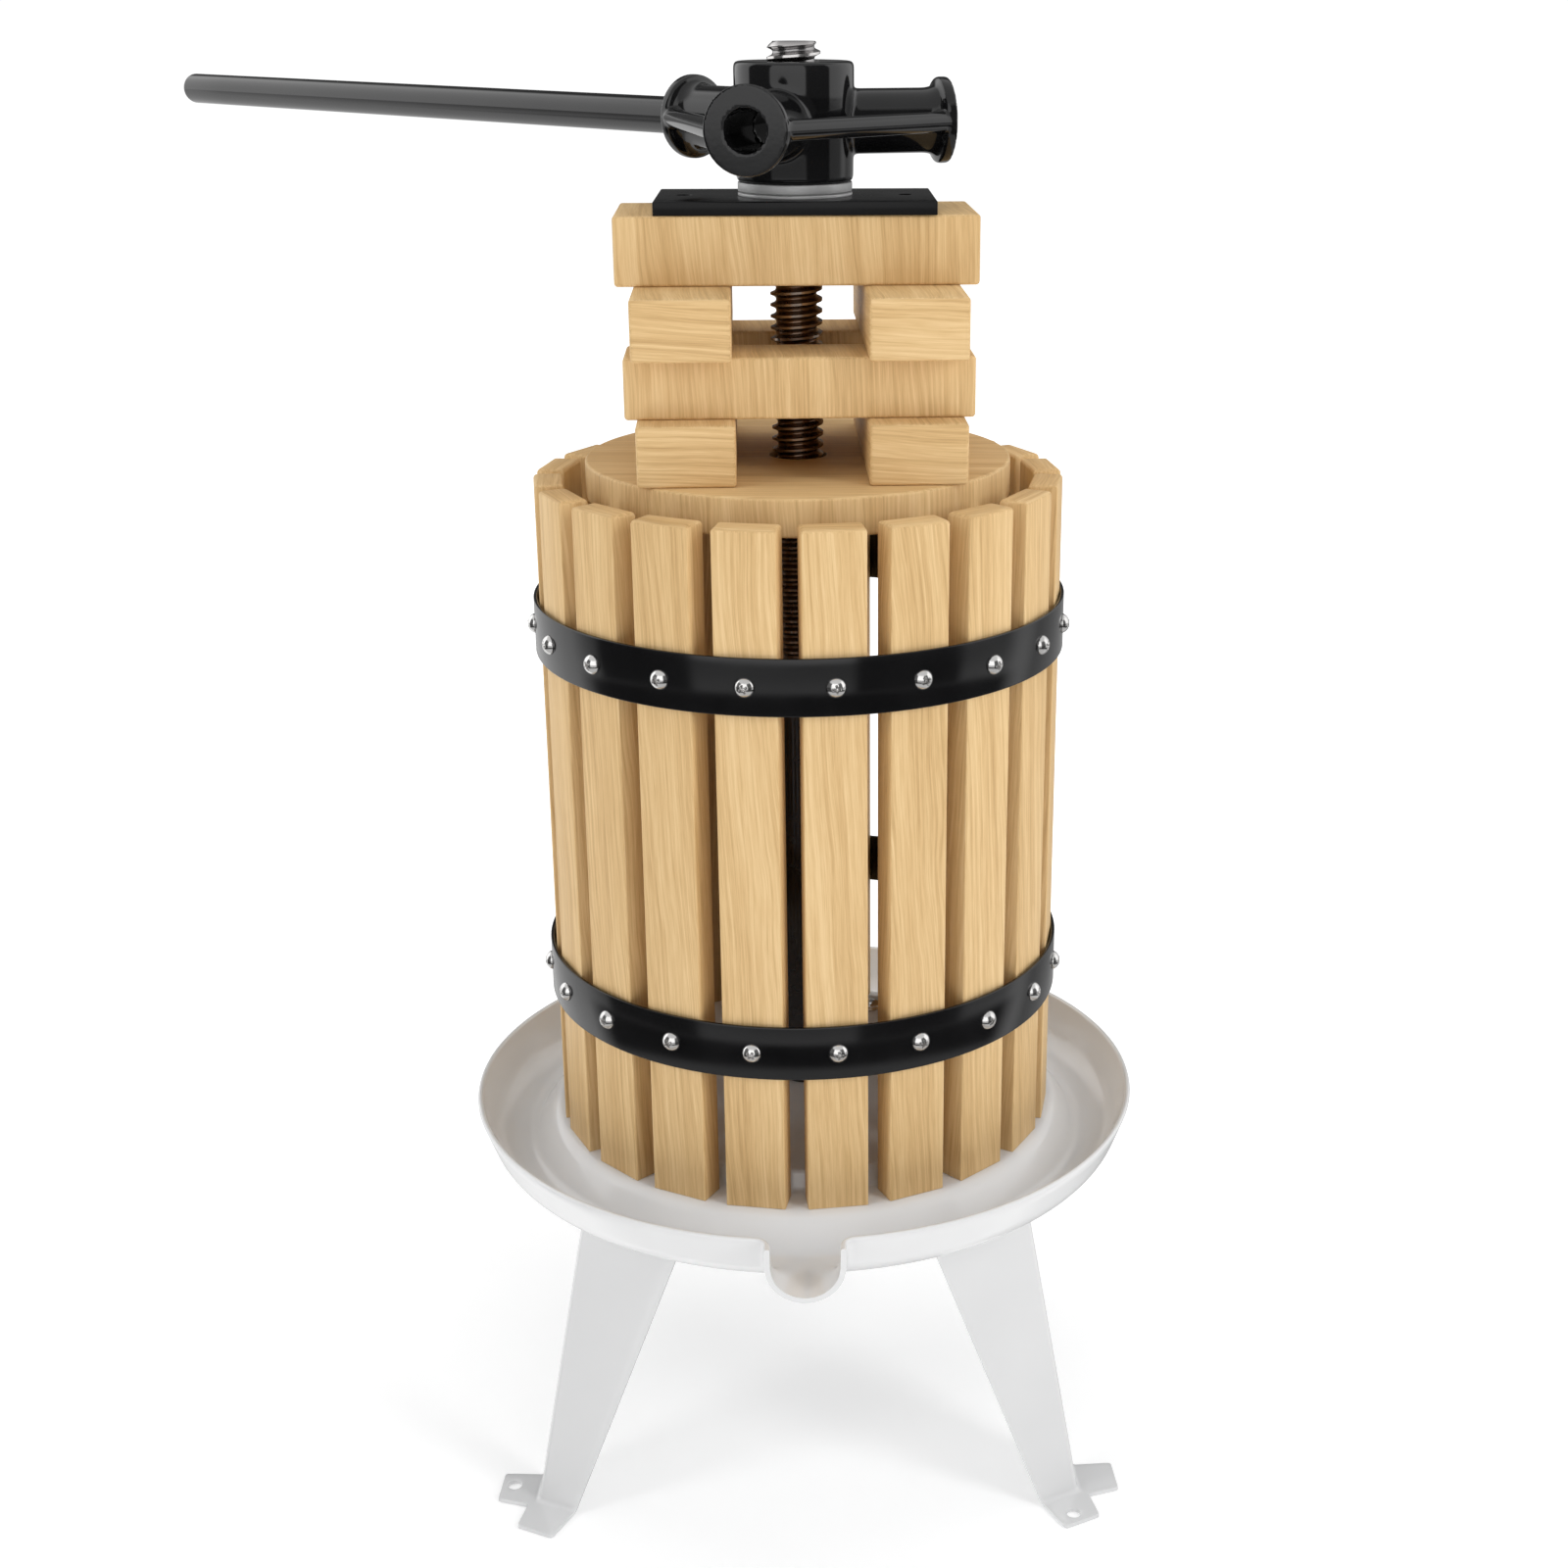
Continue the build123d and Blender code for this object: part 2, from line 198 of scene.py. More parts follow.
def beech():
    """Planed beech. The grain attribute holds across, depth and along the grain, in metres."""
    s = Shader("beech", Roughness=0.5)
    s.bsdf.inputs["Specular IOR Level"].default_value = 0.32
    grain = s.attribute("grain")
    across, depth, along = s.split(grain)
    drift = s.noise(s.scaled(grain, (14, 14, 5)), 1.0, 2.0)
    wander = s.noise(s.scaled(grain, (60, 60, 16)), 1.0, 1.0)
    shift = s.math("ADD", s.math("MULTIPLY", drift, 0.016), s.math("MULTIPLY", wander, 0.0032))
    u = s.math("ADD", across, shift)
    u = s.math("ADD", u, s.math("MULTIPLY", along, 0.05))
    fibre = s.noise(s.join(u, depth, s.math("MULTIPLY", along, 0.03)), 1700, 3.0, 0.6)
    streak = s.noise(s.join(u, depth, s.math("MULTIPLY", along, 0.012)), 640, 2.0, 0.6)
    board = s.noise(s.join(u, depth, s.math("MULTIPLY", along, 0.04)), 90, 2.0, 0.5)
    tone = s.math("ADD", s.math("MULTIPLY", fibre, 0.3), s.math("MULTIPLY", streak, 0.42))
    tone = s.math("ADD", tone, s.math("MULTIPLY", board, 0.28))
    base = s.ramp(
        tone,
        (0.36, (0.51, 0.322, 0.136)),
        (0.46, (0.62, 0.41, 0.188)),
        (0.52, (0.68, 0.465, 0.224)),
        (0.62, (0.76, 0.545, 0.285)),
    )
    s.colour(base)
    s.roughness(s.range(streak, 0.3, 0.7, 0.44, 0.62))
    s.bump(fibre, 0.0002, 0.25)
    return s.material


def enamel():
    """White vitreous enamel on sheet steel: faint clouds of tone and a slightly uneven gloss."""
    s = Shader("white_enamel", Roughness=0.3)
    s.bsdf.inputs["Coat Weight"].default_value = 0.8
    s.bsdf.inputs["Coat Roughness"].default_value = 0.09
    p = s.place()
    cloud = s.noise(p, 14, 3.0)
    s.colour(s.ramp(cloud, (0.3, (0.745, 0.747, 0.75)), (0.7, (0.77, 0.772, 0.775))))
    s.roughness(s.range(s.noise(p, 30, 2.0), 0.3, 0.7, 0.3, 0.4))
    s.bump(s.noise(p, 45, 1.0), 0.0004, 0.06)
    return s.material


def black_paint(name, roughness, spread, peel, specular=0.5):
    """Black paint over metal: orange peel, faint rubbing and dust in the roughness."""
    s = Shader(name, Roughness=roughness)
    p = s.place()
    cloud = s.noise(p, 30, 3.0)
    dust = s.noise(p, 1400, 2.0)
    tone = s.ramp(cloud, (0.3, (0.0035, 0.0035, 0.0038)), (0.7, (0.006, 0.006, 0.0065)))
    s.colour(s.mix(s.range(dust, 0.7, 0.78, 0.0, 0.15), tone, (0.03, 0.03, 0.03)))
    s.bsdf.inputs["Specular IOR Level"].default_value = specular
    s.roughness(s.range(cloud, 0.3, 0.7, roughness, roughness + spread))
    s.bump(s.noise(p, 380, 2.0), 0.0002, peel)
    return s.material


def metal(name, light, dark, roughness, spread, scale=220.0, metallic=1.0):
    s = Shader(name, Roughness=roughness, Metallic=metallic)
    p = s.place()
    cloud = s.noise(p, 60, 3.0)
    fine = s.noise(s.scaled(p, (1, 1, 6)), scale, 3.0)
    s.colour(s.ramp(cloud, (0.3, dark), (0.7, light)))
    s.roughness(s.range(fine, 0.3, 0.7, roughness, roughness + spread))
    s.bump(fine, 0.0001, 0.15)
    return s.material


def spindle_steel():
    """Steel with painted light: a dark slate grey painted shade on the plain shank, a wood-coloured painted
    reflection in the thread with random oil patches, painted highlights on the thread's ridges with painted
    shade in its roots, and a pale painted reflection at the top end.
    """
    s = Shader("spindle_steel", Metallic=1.0, Roughness=0.24)
    p = s.place()
    x, y, z = s.split(p)
    # painted highlight and painted shade: the thread's ridges get lighter colours, its roots darker ones
    lit_crest_mask = s.range(s.from_axis(x, y), 0.0112, 0.0138, 0.0, 1.0)
    # painted reflection: the rod turns pale above 0.786 m
    top = s.range(z, 0.786, 0.806, 0.0, 1.0)
    # painted shade: the plain shank below the thread is dark slate grey
    plain = s.range(z, 0.47, 0.49, 1.0, 0.0)
    oil = s.noise(p, 130, 4.0)
    # painted reflection of the wood round the thread, darkened in random oil patches on the next line
    painted_wood_reflection = s.mix(lit_crest_mask, (0.15, 0.10, 0.07), (0.34, 0.27, 0.22))
    painted_wood_reflection = s.mix(s.range(oil, 0.4, 0.65, 0.0, 0.5), painted_wood_reflection, (0.11, 0.08, 0.065))
    # painted shade on the plain shank, painted wood reflection in the thread
    steel = s.mix(plain, painted_wood_reflection, (0.085, 0.088, 0.095))
    # pale painted reflection for the top end, with the ridge highlight painted in
    painted_top_reflection = s.mix(lit_crest_mask, (0.34, 0.33, 0.33), (0.74, 0.72, 0.71))
    s.colour(s.mix(top, steel, painted_top_reflection))
    s.roughness(s.range(oil, 0.3, 0.7, 0.16, 0.3))
    s.bump(s.noise(s.scaled(p, (1, 1, 8)), 300, 2.0), 0.0001, 0.12)
    return s.material


materials = {
    "beech": beech(),
    "white_enamel": enamel(),
    "black_gloss": black_paint("black_gloss", 0.05, 0.04, 0.03),
    "black_band": black_paint("black_band", 0.1, 0.05, 0.02),
    "black_satin": black_paint("black_satin", 0.2, 0.08, 0.05, 0.2),
    "bright_plated": metal("bright_plated", (0.8, 0.79, 0.78), (0.68, 0.67, 0.66), 0.1, 0.1),
    "washer_grey": metal("washer_grey", (0.6, 0.6, 0.6), (0.52, 0.52, 0.52), 0.5, 0.14, 320.0, 0.75),
    "spindle_steel": spindle_steel(),
}


# ------------------------------------------------------------------ mesh tools


def as_mesh(name, verts, faces):
    mesh = bpy.data.meshes.new(name)
    mesh.from_pydata([tuple(v) for v in verts], [], faces)
    mesh.validate()
    mesh.update()
    return mesh


def piece(name, mesh, body, slot, *nodes, material=None, sharp=38.0):
    """Turns a mesh into a shown piece that rides on a body and stands for its CAD nodes."""
    obj = bpy.data.objects.new(name, mesh)
    scene.collection.objects.link(obj)
    mesh.shade_smooth()
    if sharp:
        mesh.set_sharp_from_angle(angle=math.radians(sharp))
    mesh.materials.clear()
    mesh.materials.append(materials[material or slot])
    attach(obj, body)
    if nodes:
        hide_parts(*nodes)
    return obj


def tidy(bm, distance=1e-6):
    bmesh.ops.remove_doubles(bm, verts=bm.verts, dist=distance)
    bmesh.ops.recalc_face_normals(bm, faces=bm.faces)


def from_bm(name, bm):
    mesh = bpy.data.meshes.new(name)
    bm.to_mesh(mesh)
    bm.free()
    return mesh


def applied(mesh, *modifiers):
    """The mesh after modifiers, each a (kind, {setting: value}) pair."""
    obj = bpy.data.objects.new("work", mesh)
    scene.collection.objects.link(obj)
    for kind, settings in modifiers:
        modifier = obj.modifiers.new(kind, kind)
        for key, value in settings.items():
            setattr(modifier, key, value)
    bpy.context.view_layer.update()
    done = bpy.data.meshes.new_from_object(obj.evaluated_get(bpy.context.evaluated_depsgraph_get()))
    bpy.data.objects.remove(obj)
    return done


def cut(mesh, *tools, operation="DIFFERENCE"):
    """The mesh after an exact boolean with each tool mesh."""
    for tool in tools:
        other = bpy.data.objects.new("tool", tool)
        scene.collection.objects.link(other)
        mesh = applied(
            mesh, ("BOOLEAN", {"object": other, "operation": operation, "solver": "EXACT"})
        )
        bpy.data.objects.remove(other)
    return mesh


def arc(centre, radius, start, end, count):
    """Points on an arc, angles in degrees."""
    turn = np.radians(np.linspace(start, end, count + 1))
    return [(centre[0] + radius * math.cos(a), centre[1] + radius * math.sin(a)) for a in turn]


def rounded_path(points, radii, steps=6):
    """An open line through points with its inner corners rounded."""
    points = [np.array(p, float) for p in points]
    out = [points[0]]
    for i, radius in enumerate(radii, start=1):
        a, b, c = points[i - 1], points[i], points[i + 1]
        to_a = (a - b) / np.linalg.norm(a - b)
        to_c = (c - b) / np.linalg.norm(c - b)
        half = math.acos(np.clip(np.dot(to_a, to_c), -1, 1)) / 2
        reach = radius / math.tan(half)
        centre = b + (to_a + to_c) / np.linalg.norm(to_a + to_c) * radius / math.sin(half)
        first = b + to_a * reach - centre
        last = b + to_c * reach - centre
        begin = math.atan2(first[1], first[0])
        sweep = (math.atan2(last[1], last[0]) - begin + PI) % (2 * PI) - PI
        for k in range(steps + 1):
            a = begin + sweep * k / steps
            out.append(centre + radius * np.array((math.cos(a), math.sin(a))))
    out.append(points[-1])
    return [tuple(p) for p in out]


def rounded_loop(points, radius, steps=4):
    """A closed outline with every corner rounded; radius is a number or one for each corner."""
    count = len(points)
    radii = radius if isinstance(radius, (list, tuple)) else [radius] * count
    out = []
    for i in range(count):
        around = [points[i - 1], points[i], points[(i + 1) % count]]
        out += rounded_path(around, [radii[i]], steps)[1:-1] if radii[i] else [points[i]]
    return out


def lathe(name, loop, segments=96, closed=True, matrix=None):
    """Turns an outline of (radius, height) points round the Z axis. Points on the axis are shared."""
    bm = bmesh.new()
    rings = []
    for radius, height in loop:
        if radius < 1e-6:
            rings.append([bm.verts.new((0, 0, height * MM))] * segments)
            continue
        ring = []
        for k in range(segments):
            a = 2 * PI * k / segments
            ring.append(bm.verts.new((radius * MM * math.cos(a), radius * MM * math.sin(a), height * MM)))
        rings.append(ring)
    pairs = list(zip(rings, rings[1:] + rings[:1])) if closed else list(zip(rings, rings[1:]))
    for lower, upper in pairs:
        if lower[0] is lower[1] and upper[0] is upper[1]:
            continue
        for k in range(segments):
            n = (k + 1) % segments
            corners = [lower[k], lower[n], upper[n], upper[k]]
            unique = [v for i, v in enumerate(corners) if v not in corners[:i]]
            bm.faces.new(unique)
    tidy(bm)
    if matrix:
        bm.transform(matrix)
    return from_bm(name, bm)


def plug(radius, low, high, segments):
    """A plain cylinder round the Z axis, for boring a hole."""
    return lathe("plug", [(0, low), (radius, low), (radius, high), (0, high)], segments, closed=False)


def rounded_box(name, size, weights, width, segments=4):
    """A box about the origin, its edges bevelled by weight: weights(edge middle, direction) gives 0 to 1."""
    bm = bmesh.new()
    bmesh.ops.create_cube(bm, size=1.0)
    bmesh.ops.scale(bm, vec=Vector(size) * MM, verts=bm.verts)
    layer = bm.edges.layers.float.new("bevel_weight_edge")
    for edge in bm.edges:
        a, b = edge.verts[0].co, edge.verts[1].co
        edge[layer] = weights((a + b) / 2, (b - a).normalized())
    mesh = from_bm(name, bm)
    settings = {"width": width * MM, "segments": segments, "limit_method": "WEIGHT"}
    return applied(mesh, ("BEVEL", {**settings, "offset_type": "OFFSET", "use_clamp_overlap": False}))


def set_grain(mesh, mapping, seed):
    """Stores across, depth and along the grain at each face corner, face by face, as planks are cut."""
    count = len(mesh.loops)
    points = np.zeros(len(mesh.vertices) * 3)
    mesh.vertices.foreach_get("co", points)
    points = points.reshape(-1, 3)
    owners = np.zeros(count, int)
    mesh.loops.foreach_get("vertex_index", owners)
    values = np.zeros((count, 3))
    shift = np.array([seed.uniform(-3, 3) for _ in range(3)])
    for face in mesh.polygons:
        turned = mapping(face.normal)
        for i in face.loop_indices:
            values[i] = turned @ points[owners[i]] + shift
    attribute = mesh.attributes.new("grain", "FLOAT_VECTOR", "CORNER")
    attribute.data.foreach_set("vector", values.astype(np.float32).ravel())


def net(name, field, low, high, step, project=3):
    """A smooth mesh of the surface where field(points) is zero, inside where it is negative."""
    axes = [np.arange(a, b + step, step) for a, b in zip(low, high)]
    grid = np.stack(np.meshgrid(*axes, indexing="ij"), -1)
    value = field(grid.reshape(-1, 3)).reshape(grid.shape[:3])
    inside = value < 0
    shape = tuple(n - 1 for n in value.shape)
    total = np.zeros((*shape, 3))
    hits = np.zeros(shape)
    corners = [(0, 0, 0), (0, 0, 1), (0, 1, 0), (0, 1, 1), (1, 0, 0), (1, 0, 1), (1, 1, 0), (1, 1, 1)]

    def block(array, c):
        return array[c[0] : c[0] + shape[0], c[1] : c[1] + shape[1], c[2] : c[2] + shape[2]]

    for i, a in enumerate(corners):
        for b in corners[i + 1 :]:
            if sum(x != y for x, y in zip(a, b)) != 1:
                continue
            va, vb = block(value, a), block(value, b)
            crossed = (va < 0) != (vb < 0)
            share = np.where(crossed, va / np.where(crossed, va - vb, 1), 0)[..., None]
            point = block(grid, a) * (1 - share) + block(grid, b) * share
            total += point * crossed[..., None]
            hits += crossed
    active = hits > 0
    index = np.full(shape, -1)
    index[active] = np.arange(active.sum())
    verts = total[active] / hits[active][:, None]
    faces = []
    for axis in range(3):
        u, v = (axis + 1) % 3, (axis + 2) % 3
        near = [slice(1, -1)] * 3
        near[axis] = slice(0, -1)
        far = list(near)
        far[axis] = slice(1, None)
        first, second = inside[tuple(near)], inside[tuple(far)]
        where = np.argwhere(first != second)
        flip = first[tuple(where.T)]
        where[:, u] += 1
        where[:, v] += 1
        quad = []
        for du, dv in ((0, 0), (1, 0), (1, 1), (0, 1)):
            cell = where.copy()
            cell[:, u] -= du
            cell[:, v] -= dv
            quad.append(index[tuple(cell.T)])
        quad = np.stack(quad, -1)
        quad[~flip] = quad[~flip][:, ::-1]
        faces.append(quad)
    faces = np.concatenate(faces)
    small = step * 0.1
    for _ in range(project):
        here = field(verts)
        slope = np.stack(
            [(field(verts + small * e) - field(verts - small * e)) / (2 * small) for e in np.eye(3)], -1
        )
        length = np.maximum((slope**2).sum(-1), 0.05)
        move = np.clip(here / length, -step, step)[:, None] * slope
        verts = verts - move
    return as_mesh(name, verts * MM, faces.tolist())


def smooth_min(a, b, radius):
    """Union of two fields with a fillet."""
    h = np.maximum(radius - np.abs(a - b), 0) / radius
    return np.minimum(a, b) - h * h * h * radius / 6


def smooth_max(a, b, radius):
    return -smooth_min(-a, -b, radius)


def joined(name, meshes):
    bm = bmesh.new()
    for mesh in meshes:
        bm.from_mesh(mesh)
    return from_bm(name, bm)


def moved(mesh, matrix):
    copy = mesh.copy()
    copy.transform(matrix)
    return copy


def outward(azimuth, radius, height):
    """Places local +Z outwards at an azimuth from the front, local +Y up."""
    a = math.radians(azimuth)
    out = Vector((math.sin(a), -math.cos(a), 0))
    up = Vector((0, 0, 1))
    side = up.cross(out)
    m = Matrix((side, up, out)).transposed().to_4x4()
    m.translation = out * radius * MM + up * height * MM
    return m


def azimuth_of(point):
    return math.degrees(math.atan2(point[0], -point[1]))


# ------------------------------------------------------------------ basket

STAVE_WIDTH = 33.0
STAVE_THICK = 16.0
STAVE_ROUND = 2.3
staves = sorted(n for n in frame["nodes"] if n.startswith("stave_"))
stave_low, stave_high = span(staves[0])
stave_height = stave_high[2] - stave_low[2]


def stave_weights(centre, direction):
    if abs(direction.z) > 0.9:
        return 0.4
    return 1.0 if centre.z > 0 else 0.15


def grain_along(top, side, front):
    """Grain axes for a face by the way it looks: three letters name its across, depth and along axes."""

    def mapping(normal):
        if abs(normal.z) > 0.7:
            order = top
        else:
            order = side if abs(normal.x) > abs(normal.y) else front
        return np.eye(3)[["xyz".index(letter) for letter in order]]

    return mapping


# grain upright on every side; end faces show it running across
upright_grain = grain_along("yzx", "yxz", "xyz")
# the long timbers: upright on the sides, along Y on top
beam_grain = grain_along("xzy", "yxz", "xyz")
# the cross blocks: level on the sides, along Y on top
block_grain = grain_along("xzy", "zxy", "zyx")


for node in staves:
    centre = middle(node)
    size = (STAVE_WIDTH, STAVE_THICK, stave_height)
    mesh = rounded_box(node + "_mesh", size, stave_weights, STAVE_ROUND, 3)
    set_grain(mesh, upright_grain, rng)
    turn = Matrix.Rotation(math.radians(azimuth_of(centre)), 4, "Z")
    mesh.transform(Matrix.Translation(Vector(centre * MM)) @ turn)
    piece("wood_" + node, mesh, "basket", "beech", node)

BAND_SHEET = 2.1
for node in ("upper_band", "lower_band"):
    low, high = span(node)
    outer = high[0]
    outline = rounded_loop(
        [(outer, low[2]), (outer, high[2]), (outer - BAND_SHEET, high[2]), (outer - BAND_SHEET, low[2])],
        0.6,
        3,
    )
    mesh = lathe(node + "_hoop", outline, 240)
    piece("hoop_" + node, mesh, "basket", "black_gloss", node, material="black_band")


SCREW_SKIRT_R = 5.5
SCREW_DOME_R = 5.8
SCREW_DOME_DROP = 1.8
RECESS_THIN, RECESS_LONG = 0.55, 2.6
RECESS_FLOOR = 1.6
RECESS_TOP = 4.2


def screw_field(p):
    """A pan head with a cross recess, standing on its seat along +Z."""
    x, y, z = np.abs(p[:, 0]), np.abs(p[:, 1]), p[:, 2]
    r = np.hypot(x, y)
    dome = np.sqrt(r**2 + (z + SCREW_DOME_DROP) ** 2) - SCREW_DOME_R
    head = smooth_max(np.maximum(dome, -z), r - SCREW_SKIRT_R, 0.5)
    taper = 0.5 * (z - RECESS_TOP)
    thin = RECESS_THIN + 0.15 * taper
    long = RECESS_LONG + 0.9 * taper
    wing = np.minimum(np.maximum(x - thin, y - long), np.maximum(y - thin, x - long))
    recess = np.maximum(wing, RECESS_FLOOR - z)
    return smooth_max(head, -recess, 0.35)


screw_head = net("screw_head", screw_field, (-5.8, -5.8, -0.6), (5.8, 5.8, 4.6), 0.42)
for node, band in (("upper_band_screws", "upper_band"), ("lower_band_screws", "lower_band")):
    height = middle(band)[2]
    seat = span(band)[1][0]
    shank = lathe("shank", [(0, -13.5), (1.2, -13.5), (2.0, -11.5), (2.0, 0.6), (0, 0.6)], 16, closed=False)
    heads = []
    for stave in staves:
        spin = Matrix.Rotation(rng.uniform(0, PI / 2), 4, "Z")
        place = outward(azimuth_of(middle(stave)), seat, height) @ spin
        heads += [moved(screw_head, place), moved(shank, place)]
    piece("screws_" + band, joined(node, heads), "basket", "bright_plated", node, sharp=50)

# ------------------------------------------------------------------ pressing stack

stack_turn = math.radians(1.6)
to_stack = Matrix.Rotation(stack_turn, 4, "Z")
plate_turn = math.radians(0.4)
to_plate = Matrix.Rotation(plate_turn, 4, "Z")


def straight_size(node, turn):
    """Size of a box-shaped node before it was turned about the spindle."""
    low, high = span(node)
    wide, deep, tall = high - low
    c, s = math.cos(turn), math.sin(turn)
    k = c * c - s * s
    return (wide * c - deep * s) / k, (deep * c - wide * s) / k, tall


WOOD_ROUND = 1.9
timbers = {
    "lower_block_left": block_grain,
    "lower_block_right": block_grain,
    "middle_board_front": beam_grain,
    "middle_board_rear": beam_grain,
    "upper_block_left": block_grain,
    "upper_block_right": block_grain,
    "top_beam": beam_grain,
}
ROD_HOLE_R = 15.6
for node, mapping in timbers.items():
    size = straight_size(node, stack_turn)
    mesh = rounded_box(node + "_mesh", size, lambda c, d: 1.0, WOOD_ROUND, 4)
    if node == "top_beam":
        mesh = cut(mesh, plug(ROD_HOLE_R, -60, 60, 64))
    set_grain(mesh, mapping, rng)
    mesh.transform(Matrix.Translation(Vector(middle(node) * MM)) @ to_stack)
    piece("wood_" + node, mesh, "carriage", "beech", node)

low, high = span("press_disc")
disc_r = high[0]
outline = rounded_loop(
    [(ROD_HOLE_R, low[2]), (disc_r, low[2]), (disc_r, high[2]), (ROD_HOLE_R, high[2])],
    [0.6, 1.8, 1.8, 0.6],
    5,
)
mesh = lathe("press_disc_mesh", outline, 160)
set_grain(mesh, upright_grain, rng)
mesh.transform(to_stack)
piece("wood_press_disc", mesh, "carriage", "beech", "press_disc")

# black bearing plate, countersunk for its two screws
size = straight_size("bearing_plate", plate_turn)
mesh = rounded_box("plate", size, lambda c, d: 1.0 if c.z > 0 or abs(d.z) > 0.9 else 0.5, 0.8, 3)
PLATE_SCREW_X = 58.5
tools = [plug(ROD_HOLE_R, -20, 20, 64)]
top = size[2] / 2
for x in (-PLATE_SCREW_X, PLATE_SCREW_X):
    outline = [(0, -20), (2.0, -20), (2.0, top - 2.2), (4.4, top + 0.2), (4.4, 9), (0, 9)]
    sink = lathe("sink", outline, 32, closed=False)
    sink.transform(Matrix.Translation((x * MM, 0, 0)))
    tools.append(sink)
mesh = cut(mesh, *tools)
mesh.transform(Matrix.Translation(Vector(middle("bearing_plate") * MM)) @ to_plate)
piece("black_plate", mesh, "carriage", "black_satin", "bearing_plate")

plate_top = span("bearing_plate")[1][2]
heads = []
for x in (-PLATE_SCREW_X, PLATE_SCREW_X):
    outline = [(0, -22.4), (1.4, -22.4), (2.0, -20), (2.0, -2.3)]
    outline += [(3.6, -0.7), (3.6, -0.45), (3.3, -0.35), (0, -0.35)]
    head = lathe("countersunk", outline, 32, closed=False)
    slot_tool = rounded_box("slot", (4.4, 0.9, 2.0), lambda c, d: 1.0, 0.1, 1)
    other_tool = rounded_box("slot", (0.9, 4.4, 2.0), lambda c, d: 1.0, 0.1, 1)
    head = cut(head, slot_tool, other_tool)
    head.transform(to_plate @ Matrix.Translation((x * MM, 0, plate_top * MM)))
    heads.append(head)
piece("plate_screw_pair", joined("plate_screws", heads), "carriage", "black_satin", "plate_screws")

WASHER_HOLE_R = 14.8
for node, under, over in (("thin_washer", 0.3, 0.7), ("thrust_washer", 0.9, 0.7)):
    low, high = span(node)
    outer, inner = high[0], WASHER_HOLE_R
    outline = rounded_loop(
        [(inner, low[2]), (outer, low[2]), (outer, high[2]), (inner, high[2])], [0.3, under, over, 0.3], 3
    )
    piece("steel_" + node, lathe(node, outline, 128), "carriage", "washer_grey", node)

# ------------------------------------------------------------------ turning head

hub_low, hub_high = span("hub")
mouth, _ = mount("socket_front")
arm_z = mouth[2]
mouth_r = math.hypot(mouth[0], mouth[1])
arm_azimuths = [azimuth_of(mouth) + 120 * i for i in range(3)]
arm_outs = [np.array((math.sin(math.radians(a)), -math.cos(math.radians(a)), 0)) for a in arm_azimuths]
SOCKET_R = 11.0
SOCKET_FLOOR = 35.0
NUT_R = 14.1
TUBE_R = 16.6
FLANGE_R = 21.8
FLANGE_THICK = 5.4
HUB_R = 31.4
HUB_FOOT_R = 30.8
TIE_R = 5.3
TIE_SIDE = 16.6
FLARE = 11.0
ARM_FILLET = 5.0
TIE_FILLET = 2.0
arm_sides = [np.array((math.cos(math.radians(a)), math.sin(math.radians(a)), 0)) for a in arm_azimuths]


def tie_end(arm, side):
    """Where a tie meets the inner face of a flange, on one side of the arm's tube."""
    out = arm_outs[arm] * (mouth_r - FLANGE_THICK + 1.5)
    return out + arm_sides[arm] * TIE_SIDE * side + np.array((0, 0, arm_z))


def along(p, out):
    """Distance out along an arm, and from its centre line."""
    q = p - np.array((0, 0, arm_z))
    t = q @ out
    return t, np.sqrt(np.maximum((q * q).sum(-1) - t * t, 0))


def rod_field(p, a, b, radius):
    line = b - a
    t = np.clip((p - a) @ line / (line @ line), 0, 1)
    return np.linalg.norm(p - a - t[:, None] * line, axis=1) - radius


def hub_field(p):
    r = np.hypot(p[:, 0], p[:, 1])
    z = p[:, 2]
    share = np.clip((z - hub_low[2]) / (hub_high[2] - hub_low[2]) * 1.4, 0, 1)
    wall = r - (HUB_FOOT_R + (HUB_R - HUB_FOOT_R) * share)
    half = (hub_high[2] - hub_low[2]) / 2
    whole = smooth_max(wall, np.abs(z - hub_low[2] - half) - half, 5.0)
    for out in arm_outs:
        t, off = along(p, out)
        tube = np.maximum(off - TUBE_R, np.abs(t - mouth_r / 2) - mouth_r / 2 + 1.2)
        flange = smooth_max(off - FLANGE_R, np.abs(t - mouth_r + FLANGE_THICK / 2) - FLANGE_THICK / 2, 2.8)
        arm = smooth_min(tube, flange, FLARE)
        whole = smooth_min(whole, arm, ARM_FILLET)
    for i in range(3):
        tie = rod_field(p, tie_end(i, 1), tie_end((i + 1) % 3, -1), TIE_R)
        whole = smooth_min(whole, tie, TIE_FILLET)
    for out in arm_outs:
        t, off = along(p, out)
        whole = smooth_max(whole, t - mouth_r, 0.2)
        bore = np.maximum(off - SOCKET_R, SOCKET_FLOOR - t)
        whole = smooth_max(whole, -bore, 0.6)
    return np.maximum(whole, NUT_R - r)


hub_mesh = net("hub_casting", hub_field, hub_low - 1.5, hub_high + 1.5, 0.85)
piece("cast_hub", hub_mesh, "head", "black_gloss", "hub", sharp=50)

